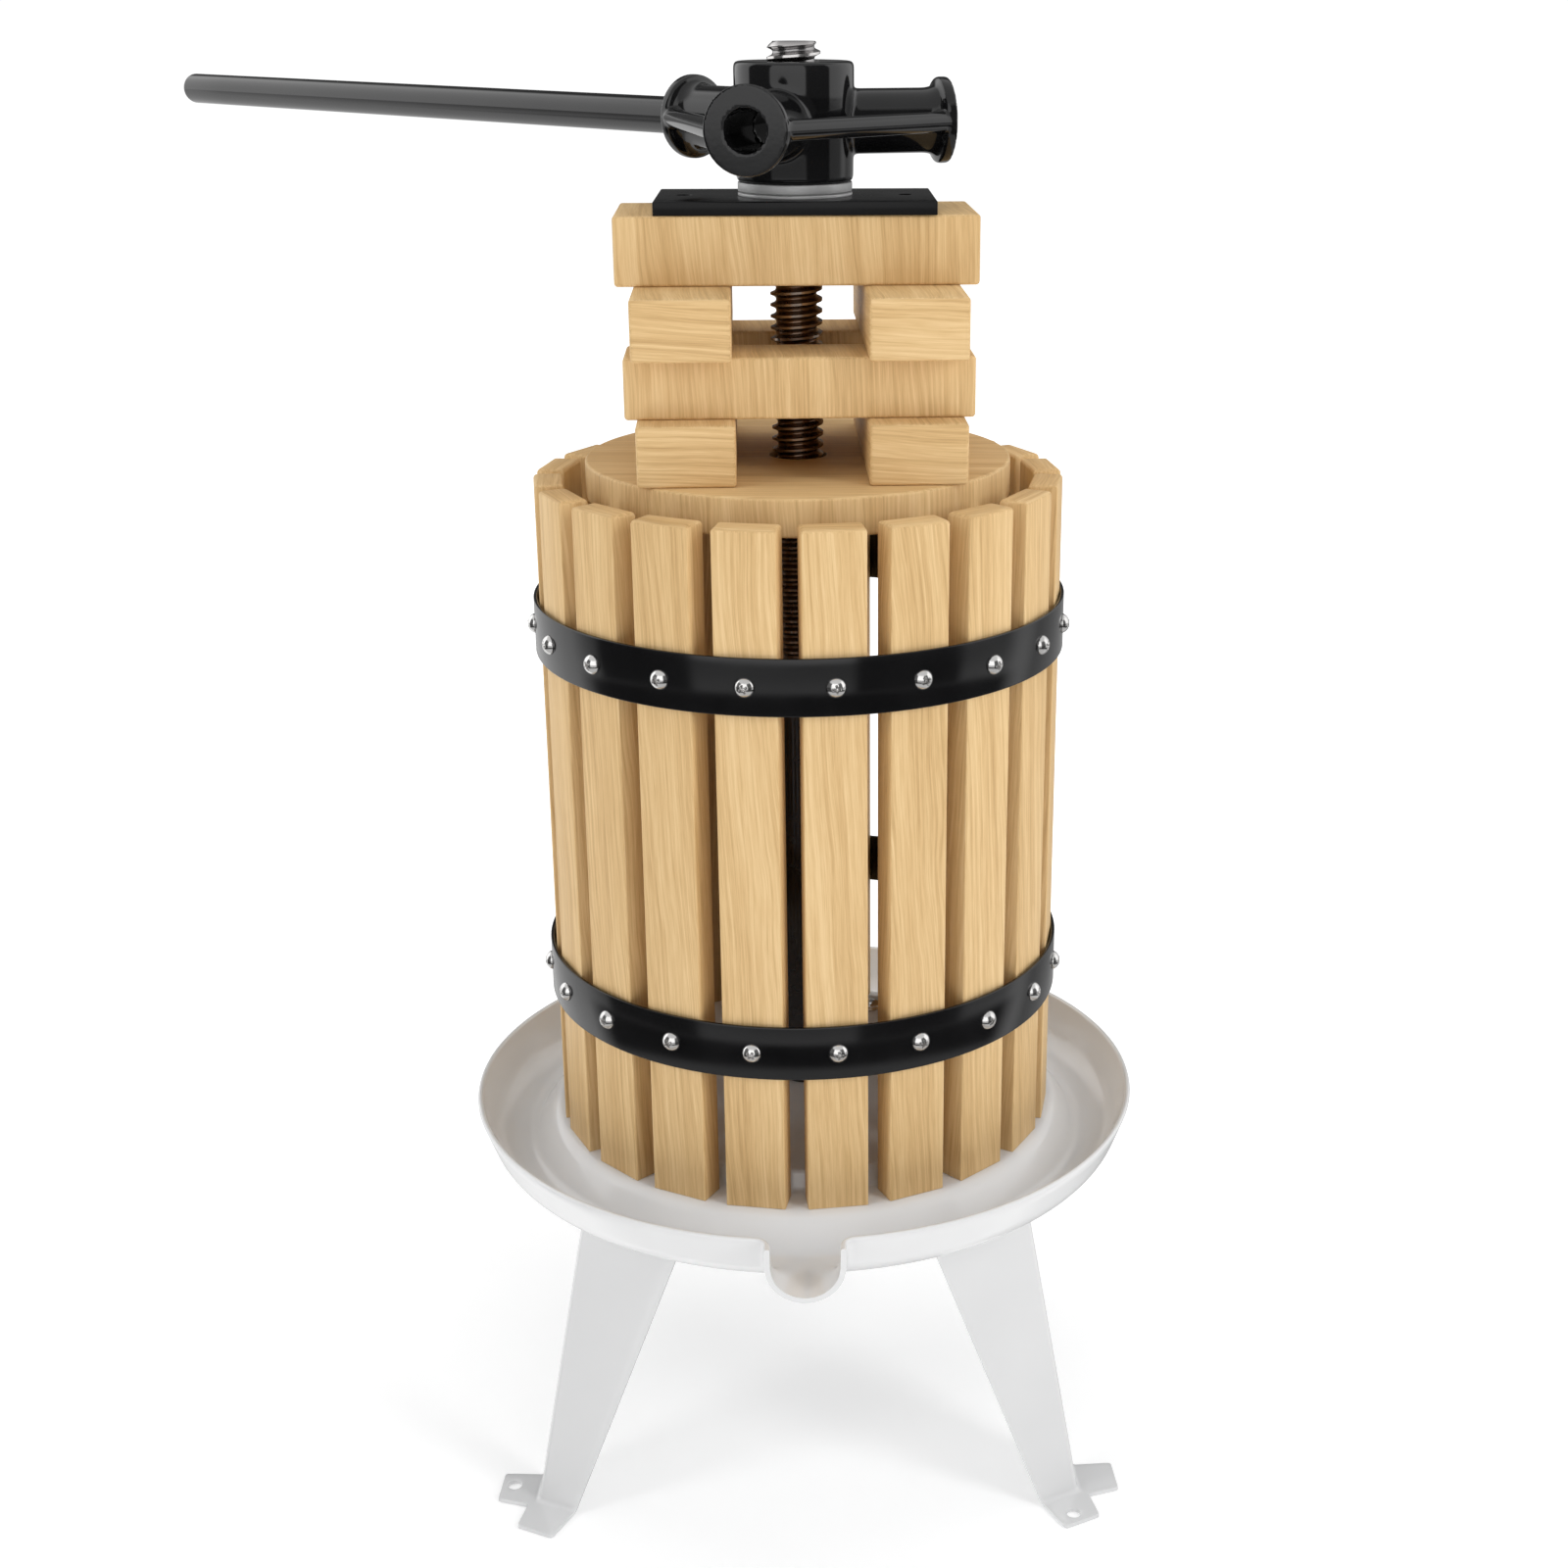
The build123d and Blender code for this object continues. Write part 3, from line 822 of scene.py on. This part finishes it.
bar_out = arm_outs[2]
bar_low, bar_high = span("handle_bar")
bar_r = (bar_high[2] - bar_low[2]) / 2
corner = bar_low if bar_out[0] < 0 else bar_high
bar_tip = (abs(corner[0]) - bar_r * abs(bar_out[1])) / abs(bar_out[0])
bar_start = SOCKET_FLOOR + 1.0
outline = [(0, bar_start), (bar_r - 1.5, bar_start), (bar_r, bar_start + 1.5)]
outline += [(bar_r, bar_start + 1.5 + (bar_tip - bar_start - 8) * k / 12) for k in range(1, 12)]
outline += [(r, z) for r, z in arc((bar_r - 6.0, bar_tip - 6.0), 6.0, 0, 90, 8)]
outline += [(0, bar_tip)]
mesh = lathe("bar", outline, 48, closed=False, matrix=outward(arm_azimuths[2], 0, arm_z))
piece("steel_handle_bar", mesh, "handle", "black_gloss", "handle_bar")

# ------------------------------------------------------------------ spindle

rod_low, rod_high = span("screw_rod")
ROD_R = 14.0
ROOT_R = 10.9
PITCH = 6.0
THREAD_END = 483.0
BASE = span("tray")[1][2]
THREAD_PROFILE = [(0.0, 1.0), (0.1, 1.0), (0.2, 1.0), (0.27, 0.72), (0.36, 0.3), (0.46, 0.07), (0.6, 0.0),
                  (0.74, 0.07), (0.84, 0.3), (0.93, 0.72)]


def spindle():
    """The rod with its thread as one helical skin, cut off square at both ends of the thread."""
    count = 60
    low, high = THREAD_END - 12, rod_high[2]
    turns = int((high - low) / PITCH) + 4
    per = len(THREAD_PROFILE)
    bm = bmesh.new()
    rows = []
    for row in range(turns * per):
        step, rise = THREAD_PROFILE[row % per]
        line = []
        for k in range(count):
            z = low - PITCH + PITCH * (row // per + step + k / count)
            r = ROOT_R + (ROD_R - ROOT_R) * rise
            fade = np.clip((THREAD_END + 2 - z) / PITCH, 0, 1)
            r = r + (ROD_R - r) * fade * fade * (3 - 2 * fade)
            r = min(r, ROD_R - 0.8 * max(0.0, z - high + 3.2))
            a = -2 * PI * k / count
            line.append(bm.verts.new((r * MM * math.sin(a), r * MM * math.cos(a), z * MM)))
        rows.append(line)
    for i in range(len(rows) - 1):
        for k in range(count):
            if k + 1 < count:
                bm.faces.new((rows[i][k], rows[i][k + 1], rows[i + 1][k + 1], rows[i + 1][k]))
            elif i + 1 + per < len(rows):
                bm.faces.new((rows[i][k], rows[i + per][0], rows[i + per + 1][0], rows[i + 1][k]))
    bmesh.ops.recalc_face_normals(bm, faces=bm.faces)
    for level, sign in ((high, 1), (low + 2, -1)):
        everything = bm.verts[:] + bm.edges[:] + bm.faces[:]
        plane = {"plane_co": (0, 0, level * MM), "plane_no": (0, 0, sign)}
        bmesh.ops.bisect_plane(bm, geom=everything, dist=1e-7, clear_outer=True, **plane)
    top_edges = [e for e in bm.edges if e.is_boundary and min(v.co.z for v in e.verts) > (high - 0.01) * MM]
    bmesh.ops.contextual_create(bm, geom=top_edges)
    ring = [(ROD_R, low + 2), (ROD_R, low - 80), (ROD_R, BASE + 1.0), (ROD_R - 1.0, BASE), (10, BASE),
            (10, rod_low[2] + 1.5), (8.5, rod_low[2]), (0, rod_low[2])]
    shank = lathe("shank", ring, count, closed=False, matrix=Matrix.Rotation(PI / 2, 4, "Z"))
    bm.from_mesh(shank)
    bmesh.ops.remove_doubles(bm, verts=bm.verts, dist=2e-5)
    bmesh.ops.recalc_face_normals(bm, faces=bm.faces)
    return from_bm("spindle", bm)


piece("threaded_spindle", spindle(), "frame", "spindle_steel", "screw_rod", sharp=45)


def hex_nut(name, across_flats, bore_r, low, high):
    """A hexagon nut with its corners turned off at both faces."""
    corner = across_flats / math.sqrt(3)
    bm = bmesh.new()
    sizes = {"radius1": corner * MM, "radius2": corner * MM, "depth": (high - low) * MM}
    bmesh.ops.create_cone(bm, cap_ends=True, segments=6, **sizes)
    bmesh.ops.translate(bm, vec=(0, 0, (low + high) / 2 * MM), verts=bm.verts)
    prism = from_bm(name, bm)
    face = across_flats / 2 * 0.96
    drop = (corner + 1 - face) * 0.5
    outline = [(0, low), (face, low), (corner + 1, low + drop)]
    outline += [(corner + 1, high - drop), (face, high), (0, high)]
    turned = lathe("turned", outline, 48, closed=False)
    return cut(cut(prism, turned, operation="INTERSECT"), plug(bore_r, low - 5, high + 5, 48))


low, high = span("rod_nut")
mesh = hex_nut("rod_nut", high[1] - low[1], 10.0, low[2], high[2])
piece("steel_rod_nut", mesh, "frame", "washer_grey", "rod_nut", sharp=25)
low, high = span("rod_washer")
outline = rounded_loop([(10.3, low[2]), (high[0], low[2]), (high[0], high[2]), (10.3, high[2])], 0.6, 3)
piece("steel_rod_washer", lathe("rod_washer", outline, 96), "frame", "washer_grey", "rod_washer")

# ------------------------------------------------------------------ drip tray

SHEET = 3.0
tray_low, _ = span("tray")
RIM_Z = 235.8
GUTTER_Z = 208.0
SPOUT_HALF = 21.5
SPOUT_END = -tray_low[1]
PLATFORM_R = 120.0
GUTTER_FLAT = 168.6
SEAT_Z = 226.7
SEAT_R = 149.0
GUTTER_R = 163.0
STUD_HOLE_R = 10.3
WALL_BEND = 19.0
WALL_LEAN = math.radians(70)
RIM_LIFT = 1.5
SPOUT_FILLET = 9.0
ARC_STEPS, FILLET_STEPS, LINE_STEPS = 120, 8, 6


def tray_paths():
    """Top and underside of the tray's section, from the spindle hole out to the floor of the gutter."""
    line = [(STUD_HOLE_R, BASE), (PLATFORM_R, BASE), (PLATFORM_R + 4, SEAT_Z), (SEAT_R, SEAT_Z)]
    line += [(GUTTER_R, GUTTER_Z), (GUTTER_FLAT, GUTTER_Z)]
    upper = rounded_path(line, [4, 3.5, 12, 10], 6)
    lower = []
    for i, point in enumerate(upper):
        before = np.array(upper[max(i - 1, 0)])
        after = np.array(upper[min(i + 1, len(upper) - 1)])
        step = (after - before) / np.linalg.norm(after - before)
        lower.append((point[0] + step[1] * SHEET, point[1] - step[0] * SHEET))
    lower[0] = (STUD_HOLE_R, BASE - SHEET)
    return upper, lower


def wall_rows(thick):
    """Rows of the wall from the gutter's floor to the rim: (radius, height, channel half-width)."""
    rows = []
    bend = WALL_BEND + thick
    half = SPOUT_HALF - SHEET + thick
    floor = GUTTER_Z - thick
    centre = (GUTTER_FLAT, GUTTER_Z + WALL_BEND)
    steps = 12
    for k in range(steps + 1):
        a = WALL_LEAN * k / steps
        rows.append((centre[0] + bend * math.sin(a), centre[1] - bend * math.cos(a)))
    last = rows[-1]
    rise = RIM_Z - last[1]
    for k in range(1, 4):
        rows.append((last[0] + rise * k / 3 / math.tan(WALL_LEAN), last[1] + rise * k / 3))
    out = []
    for radius, height in rows:
        drop = half - (height - floor)
        width = math.sqrt(max(half * half - drop * drop, 0)) if drop > 0 else half
        out.append((radius, height, width))
    return out


def contour(radius, width, fillet):
    """Half of the tray's outline at one height, from the rear round the right side and along the spout."""
    x = width + fillet
    y = -math.sqrt((radius + fillet) ** 2 - x * x)
    touch = radius / (radius + fillet)
    meet = math.atan2(x * touch, -y * touch)
    points = []
    for k in range(ARC_STEPS + 1):
        a = PI + (meet - PI) * k / ARC_STEPS
        points.append((radius * math.sin(a), -radius * math.cos(a)))
    begin = math.atan2(y * touch - y, x * touch - x)
    finish = -PI if begin < 0 else PI
    for k in range(1, FILLET_STEPS + 1):
        a = begin + (finish - begin) * k / FILLET_STEPS
        points.append((x + fillet * math.cos(a), y + fillet * math.sin(a)))
    for k in range(1, LINE_STEPS + 1):
        points.append((width, y + (-SPOUT_END - y) * k / LINE_STEPS))
    return points


def tray_mesh():
    bm = bmesh.new()

    def ring(points, height):
        return [bm.verts.new((x * MM, y * MM, height * MM)) for x, y in points]

    def strip(a, b):
        for i in range(len(a) - 1):
            bm.faces.new((a[i], a[i + 1], b[i + 1], b[i]))

    def half(sign):
        inner = wall_rows(0.0)
        outer = wall_rows(SHEET)
        rows = []
        for radius, height, width in inner:
            pts = contour(radius, width, SPOUT_FILLET)
            rows.append(ring([(sign * x, y) for x, y in pts], height))
        # the rim is rounded over between the two skins
        r0, z0, w0 = inner[-1]
        r1, _, w1 = outer[-1]
        steps = 6
        for k in range(1, steps):
            a = PI * k / steps
            share = (1 - math.cos(a)) / 2
            lift = math.sin(a) * RIM_LIFT
            radius = r0 + (r1 - r0) * share
            width = w0 + (w1 - w0) * share
            pts = contour(radius, width, SPOUT_FILLET - (r1 - r0) * share)
            rows.append(ring([(sign * x, y) for x, y in pts], z0 + lift))
        for radius, height, width in reversed(outer):
            pts = contour(radius, width, SPOUT_FILLET - (r1 - r0))
            rows.append(ring([(sign * x, y) for x, y in pts], height))
        for a, b in zip(rows, rows[1:]):
            strip(a, b)
        ends = [row[-1] for row in rows]
        skin = len(inner)
        middle_rows = ends[skin - 1 : len(ends) - len(outer) + 1]
        for i in range(skin - 1):
            bm.faces.new((ends[i], ends[i + 1], ends[-2 - i], ends[-1 - i]))
        if len(middle_rows) > 2:
            bm.faces.new(middle_rows)
        return rows[0], rows[-1]

    tops, unders = [], []
    for sign in (1, -1):
        top_row, under_row = half(sign)
        tops.append(top_row)
        unders.append(under_row)

    keep = ARC_STEPS + FILLET_STEPS + 1
    upper, lower = tray_paths()
    for path, edge_rows in ((upper, tops), (lower, unders)):
        for sign, edge in zip((1, -1), edge_rows):
            angles = []
            for v in edge[:keep]:
                angles.append(math.atan2(abs(v.co.x), -v.co.y))
            angles[0] = PI
            # inside the gutter's floor the columns spread evenly down to the centre line
            last = angles[ARC_STEPS]
            for k in range(1, FILLET_STEPS + 1):
                angles[ARC_STEPS + k] = last * (1 - k / FILLET_STEPS)
            rows = []
            for radius, height in path[:-1]:
                pts = [(sign * radius * math.sin(a), -radius * math.cos(a)) for a in angles]
                rows.append(ring(pts, height))
            rows.append(edge[:keep])
            for a, b in zip(rows, rows[1:]):
                strip(a, b)
    # close the spindle hole's wall
    bmesh.ops.remove_doubles(bm, verts=bm.verts, dist=2e-6)
    near = {v for v in bm.verts if math.hypot(v.co.x, v.co.y) < (STUD_HOLE_R + 0.7) * MM}
    hole = [e for e in bm.edges if e.is_boundary and all(v in near for v in e.verts)]
    bmesh.ops.bridge_loops(bm, edges=hole)
    bmesh.ops.remove_doubles(bm, verts=bm.verts, dist=2e-6)
    bmesh.ops.dissolve_degenerate(bm, dist=1e-6, edges=bm.edges)
    bmesh.ops.recalc_face_normals(bm, faces=bm.faces)
    return from_bm("tray", bm)


def islands(node):
    """Middles, in millimetres, of a node's separate solids, from its vertices' connections."""
    mesh = frame["nodes"][node].data
    bm = bmesh.new()
    bm.from_mesh(mesh)
    bmesh.ops.remove_doubles(bm, verts=bm.verts, dist=1e-6)
    found, seen = [], set()
    for first in bm.verts:
        if first.index in seen:
            continue
        todo, group = [first], []
        seen.add(first.index)
        while todo:
            v = todo.pop()
            group.append(v.co.copy())
            for e in v.link_edges:
                o = e.other_vert(v)
                if o.index not in seen:
                    seen.add(o.index)
                    todo.append(o)
        points = np.array(group)
        found.append((points.min(0) + points.max(0)) / 2 / MM)
    bm.free()
    return found


bolt_low, _ = span("leg_bolts")
bolt_places = islands("leg_bolts")
tray = tray_mesh()
piece("enamel_tray", tray, "frame", "white_enamel", "tray", sharp=40)

bolt_parts = []
for x, y, _ in bolt_places:
    shape = [(0, BASE + 4.0)]
    shape += [(8.0 * math.sin(t), BASE + 0.6 + 3.4 * math.cos(t)) for t in np.linspace(0.15, PI / 2, 8)]
    shape += [(8.0, BASE), (4.0, BASE), (4.0, bolt_low[2] + 1), (3.2, bolt_low[2]), (0, bolt_low[2])]
    bolt_parts.append(lathe("bolt", shape, 40, closed=False, matrix=Matrix.Translation((x * MM, y * MM, 0))))
piece("domed_leg_bolts", joined("bolts", bolt_parts), "frame", "bright_plated", "leg_bolts", sharp=35)

nut_low, nut_high = span("leg_nuts")
nut_parts = []
for x, y, _ in bolt_places:
    nut = hex_nut("leg_nut", 13.0, 4.0, nut_low[2], nut_high[2])
    nut.transform(Matrix.Translation((x * MM, y * MM, 0)) @ Matrix.Rotation(rng.uniform(0, 1), 4, "Z"))
    nut_parts.append(nut)
piece("hex_leg_nuts", joined("nuts", nut_parts), "frame", "bright_plated", "leg_nuts", sharp=25)

# ------------------------------------------------------------------ legs

FOLD_R, FOLD_SLOPE = 187.2, 0.204
SIDE_ANGLE = 56.5
LEG_SHEET = 2.2
SIDE_WIDTH, SIDE_GROWTH = 25.0, 0.226
FOOT_LENGTH = 24.6
FOOT_HOLE_R, FOOT_HOLE_ALONG, FOOT_HOLE_OUT = 4.2, 14.1, 16.9
BEND_IN, BEND_OUT = 2.8, 5.0
NOTCH_LAP, END_LAP = 3.8, -1.0
FOLD_OUTER = 4.5
LEG_TOP = SEAT_Z - SHEET


def side_point(side, s, inwards, z):
    """A leg's own point: s along a side plate from the fold, in from its outer face, and up."""
    angle = math.radians(SIDE_ANGLE)
    out = FOLD_R - FOLD_SLOPE * z - s * math.cos(angle) - inwards * math.sin(angle)
    across = side * (s * math.sin(angle) - inwards * math.cos(angle))
    return Vector((across, -out, z)) * MM


def leg_half(bm, side):
    """One side plate with its share of the fold and its foot tab, as one skin."""
    arc_steps, flat_steps = 5, 6
    angle = math.radians(SIDE_ANGLE)
    bend = PI / 2 - angle
    tangent = FOLD_OUTER * math.tan(bend)

    def face_row(radius, width, left, blend, to_point):
        """Points across one face: the fold's arc, flattened by the blend, then the plate to its edge."""
        row = []
        for k in range(arc_steps + 1):
            d = bend * (1 - k / arc_steps)
            s_arc = tangent - radius * math.sin(d)
            rise = radius * (1 - math.cos(d)) * (1 - blend)
            s_flat = left + (tangent - left) * k / arc_steps
            row.append(to_point(s_arc + (s_flat - s_arc) * blend, rise))
        for k in range(1, flat_steps + 1):
            row.append(to_point(tangent + (width - tangent) * k / flat_steps, 0.0))
        return row

    rows = []
    low = BEND_OUT + 0.8
    for k in range(15):
        z = LEG_TOP - (LEG_TOP - low) * k / 14
        width = SIDE_WIDTH + SIDE_GROWTH * z
        outer = face_row(FOLD_OUTER, width, 0, 0.0, lambda s, d, z=z: side_point(side, s, d, z))
        inner = face_row(
            FOLD_OUTER - LEG_SHEET, width, 0, 0.0, lambda s, d, z=z: side_point(side, s, LEG_SHEET + d, z)
        )
        rows.append((outer, inner, True))
    for k in range(9):
        turn = PI / 2 * k / 8
        share = k / 8
        blend = share * share * (3 - 2 * share)

        def upper(s, d, turn=turn):
            r = BEND_IN + d
            return side_point(side, s, -BEND_IN + r * math.cos(turn), BEND_OUT - r * math.sin(turn))

        def lower(s, d, turn=turn):
            r = BEND_OUT + d
            return side_point(side, s, -BEND_IN + r * math.cos(turn), BEND_OUT - r * math.sin(turn))

        width = SIDE_WIDTH + SIDE_GROWTH * BEND_OUT * (1 - share)
        shift = 1 - math.cos(turn)
        left_upper = -BEND_IN * shift / math.tan(angle)
        left_lower = (BEND_OUT * math.cos(turn) - BEND_IN - LEG_SHEET * (1 - share)) / math.tan(angle)
        outer = face_row(FOLD_OUTER, width, left_upper, blend, upper)
        inner = face_row(FOLD_OUTER - LEG_SHEET, width, left_lower, blend, lower)
        rows.append((outer, inner, True))
    round_r = 2.0
    meets = NOTCH_LAP * math.tan(angle)
    stops = [meets * 0.75, meets, 9, 12, 15, 18, FOOT_LENGTH - 3.2]
    stops += [FOOT_LENGTH - round_r * (1 - share) for share in (0.0, 0.4, 0.7, 0.9, 1.0)]
    for out in stops:
        over = max(0.0, out - (FOOT_LENGTH - round_r))
        trim = round_r - math.sqrt(max(round_r**2 - over**2, 0.0))
        if out <= meets:
            left = -out / math.tan(angle)
        else:
            left = -NOTCH_LAP + (NOTCH_LAP - END_LAP) * (out - meets) / (FOOT_LENGTH - meets) + trim
        width = SIDE_WIDTH - trim
        outer, inner = [
            face_row(FOLD_OUTER, width, left, 1.0, lambda s, d, o=out, z=z: side_point(side, s, -o, z))
            for z in (LEG_SHEET, 0.0)
        ]
        rows.append((outer, inner, out <= meets))
    for outer, inner, shared in rows:
        if shared:
            outer[0].x = inner[0].x = 0
    skins = [
        ([bm.verts.new(p) for p in outer], [bm.verts.new(p) for p in inner], shared)
        for outer, inner, shared in rows
    ]
    for (outer, inner, _), (outer_next, inner_next, shared) in zip(skins, skins[1:]):
        for a in range(len(outer) - 1):
            b = a + 1
            bm.faces.new((outer[a], outer[b], outer_next[b], outer_next[a]))
            bm.faces.new((inner[b], inner[a], inner_next[a], inner_next[b]))
        bm.faces.new((outer[-1], inner[-1], inner_next[-1], outer_next[-1]))
        if not shared:
            bm.faces.new((inner[0], outer[0], outer_next[0], inner_next[0]))
    for outer, inner, _ in (skins[0], skins[-1]):
        for a in range(len(outer) - 1):
            bm.faces.new((outer[a], inner[a], inner[a + 1], outer[a + 1]))


def leg_mesh():
    bm = bmesh.new()
    for side in (-1, 1):
        leg_half(bm, side)
    tidy(bm, 1e-5)
    mesh = from_bm("leg", bm)
    # bolted tabs under the tray, stepped up from its seat to its raised centre
    rise = BASE - SHEET - LEG_TOP
    section = rounded_loop(
        [
            (0.6, 0),
            (5, 0),
            (5, rise),
            (30, rise),
            (30, rise - LEG_SHEET),
            (5 + LEG_SHEET, rise - LEG_SHEET),
            (5 + LEG_SHEET, -LEG_SHEET),
            (0.6, -LEG_SHEET),
        ],
        [0, 1.2, 3.0, 0.8, 0.8, 1.0, 3.0, 0],
        4,
    )
    for side in (-1, 1):
        bm = bmesh.new()
        ends = []
        for s in (48.0, 74.0):
            points = [side_point(side, s, a, LEG_TOP) + Vector((0, 0, b * MM)) for a, b in section]
            ends.append([bm.verts.new(point) for point in points])
        count = len(section)
        for k in range(count):
            n = (k + 1) % count
            bm.faces.new((ends[0][k], ends[0][n], ends[1][n], ends[1][k]))
        bm.faces.new(ends[0])
        bm.faces.new(ends[1][::-1])
        tidy(bm)
        mesh = cut(mesh, from_bm("tab", bm), operation="UNION")
    hole = plug(FOOT_HOLE_R, -5, 8, 40)
    at = side_point(-1, FOOT_HOLE_ALONG, -FOOT_HOLE_OUT, LEG_SHEET)
    hole.transform(Matrix.Translation((at.x, at.y, 0)))
    mesh = cut(mesh, hole)
    bevel = {"width": 0.45 * MM, "segments": 2, "limit_method": "ANGLE", "angle_limit": math.radians(50)}
    return applied(mesh, ("BEVEL", bevel))


leg_shape = leg_mesh()
for node in ("leg_front_left", "leg_front_right", "leg_rear"):
    low, high = span(node)
    towards = azimuth_of((low + high) / 2)
    turned = 60.0 * round(towards / 60.0)
    mesh = moved(leg_shape, Matrix.Rotation(math.radians(turned), 4, "Z"))
    piece("enamel_" + node, mesh, "frame", "white_enamel", node, sharp=35)


# ------------------------------------------------------------------ floor, light and camera

FLOOR_HALF = 6.0
FLOOR_Z = -0.0006
corners = [(x * FLOOR_HALF, y * FLOOR_HALF, FLOOR_Z) for x, y in ((-1, -1), (1, -1), (1, 1), (-1, 1))]
floor_mesh = as_mesh("floor", corners, [(0, 1, 2, 3)])
floor = bpy.data.objects.new("floor", floor_mesh)
scene.collection.objects.link(floor)
s = Shader("studio_floor_painted_shade", Roughness=0.7)
s.bsdf.inputs["Specular IOR Level"].default_value = 0.1
s.colour(s.ramp(s.noise(s.place(), 3.0, 2.0), (0.3, (0.86, 0.86, 0.86)), (0.7, (0.88, 0.88, 0.88))))
s.bsdf.inputs["Emission Color"].default_value = (1, 1, 1, 1)
# painted shade: the floor glows 0.3 near the press and up to 0.75 further out, so the floor is darker round
# the press
x, y, _ = s.split(s.place())
s.put(s.range(s.from_axis(x, y), 0.25, 1.3, 0.3, 0.75), s.bsdf.inputs["Emission Strength"])
floor_mesh.materials.append(s.material)
floor.visible_glossy = False

world = bpy.data.worlds.new("studio")
scene.world = world
world.use_nodes = True
studio = Nodes(world.node_tree)


def background(strength):
    node = studio.add("ShaderNodeBackground")
    studio.put(strength, node.inputs[1])
    return node.outputs[0]


def blend_by(factor, first, second):
    node = studio.add("ShaderNodeMixShader")
    for value, socket in zip((factor, first, second), node.inputs):
        studio.link(value, socket)
    return node.outputs[0]


def grey_ramp(value, *stops):
    return studio.ramp(value, *[(position, (level, level, level)) for position, level in stops])


# What glossy surfaces mirror. Bearings run from the front to the right, in degrees.
x, y, z = studio.split(studio.add("ShaderNodeTexCoord").outputs["Generated"])
bearing = studio.math("ARCTAN2", x, studio.math("MULTIPLY", y, -1.0))
turns = studio.range(bearing, -PI, PI)
heights = studio.range(z, -1.0, 1.0)


def by_bearing(*pairs):
    return grey_ramp(turns, *[((degrees + 180) / 360, level) for degrees, level in pairs])


def by_elevation(*pairs):
    stops = [((math.sin(math.radians(degrees)) + 1) / 2, level) for degrees, level in pairs]
    return grey_ramp(heights, *stops)


# pale walls with dark gaps between them, and a dark strip of floor in front under the camera
walls = by_bearing(
    (-180, 0.06), (-158, 0.06), (-146, 0.85), (-96, 1.0), (-92, 0.08), (-48, 0.08), (-44, 0.9), (21, 0.9),
    (25, 0.08), (70, 0.08), (74, 0.9), (110, 0.85), (146, 0.5), (158, 0.06), (180, 0.06)
)
front = by_elevation(
    (-90, 0.45), (-37, 0.45), (-33, 0.02), (-22, 0.02), (-19, 0.5), (-12, 0.36), (-4, 0.28),
    (-2.9, 0.95), (37, 1.0), (50, 0.55)
)
gaps = by_elevation((-22, 0.0), (-19, 1.0), (37, 1.0), (48, 0.0))
mirrored = studio.mix(gaps, front, studio.math("MULTIPLY", front, studio.math("MULTIPLY", walls, 1.2)))
# behind the press the lit floor runs up to the horizon
behind = by_bearing((-180, 1.0), (-112, 1.0), (-98, 0.0), (98, 0.0), (112, 1.0), (180, 1.0))
low_down = by_elevation((-90, 1.0), (-4, 1.0), (-2.5, 0.0))
glow = by_bearing((-180, 0.4), (-150, 0.65), (-105, 0.9), (105, 0.9), (122, 0.28), (160, 0.28), (180, 0.4))
mirrored = studio.mix(studio.math("MULTIPLY", behind, low_down), mirrored, glow)
mirrored = studio.math("MULTIPLY", mirrored, 1.6)
ray = studio.add("ShaderNodeLightPath")
surround = blend_by(ray.outputs["Is Glossy Ray"], background(0.66), background(mirrored))
shown = blend_by(ray.outputs["Is Camera Ray"], surround, background(1.3))
studio.link(shown, studio.add("ShaderNodeOutputWorld").inputs[0])


def softbox(name, position, target, size, power):
    light = bpy.data.lights.new(name, "AREA")
    light.shape = "RECTANGLE"
    light.size, light.size_y = size
    light.energy = power
    obj = bpy.data.objects.new(name, light)
    obj.location = position
    obj.rotation_euler = (Vector(target) - Vector(position)).to_track_quat("-Z", "Y").to_euler()
    obj.visible_glossy = False
    scene.collection.objects.link(obj)


softbox("key_right", (1.9, -1.5, 1.5), (0, 0, 0.6), (0.7, 1.8), 22)
softbox("fill_left", (-2.1, -1.3, 1.5), (0, 0, 0.6), (0.7, 1.8), 14)
softbox("top", (0.1, 0.2, 2.6), (0, 0, 0.4), (2.0, 2.0), 16)

camera = bpy.data.objects.new("camera", bpy.data.cameras.new("camera"))
camera.data.sensor_width = 36.0
camera.data.lens = 51.774
camera.data.shift_x = -0.0594
camera.location = (0.00741, -1.22965, 0.85374)
camera.rotation_euler = (math.radians(90 - 19.361), 0, math.radians(-1.678))
camera.data.clip_start = 0.05
camera.data.clip_end = 50
scene.collection.objects.link(camera)
scene.camera = camera
scene.view_settings.view_transform = "Standard"
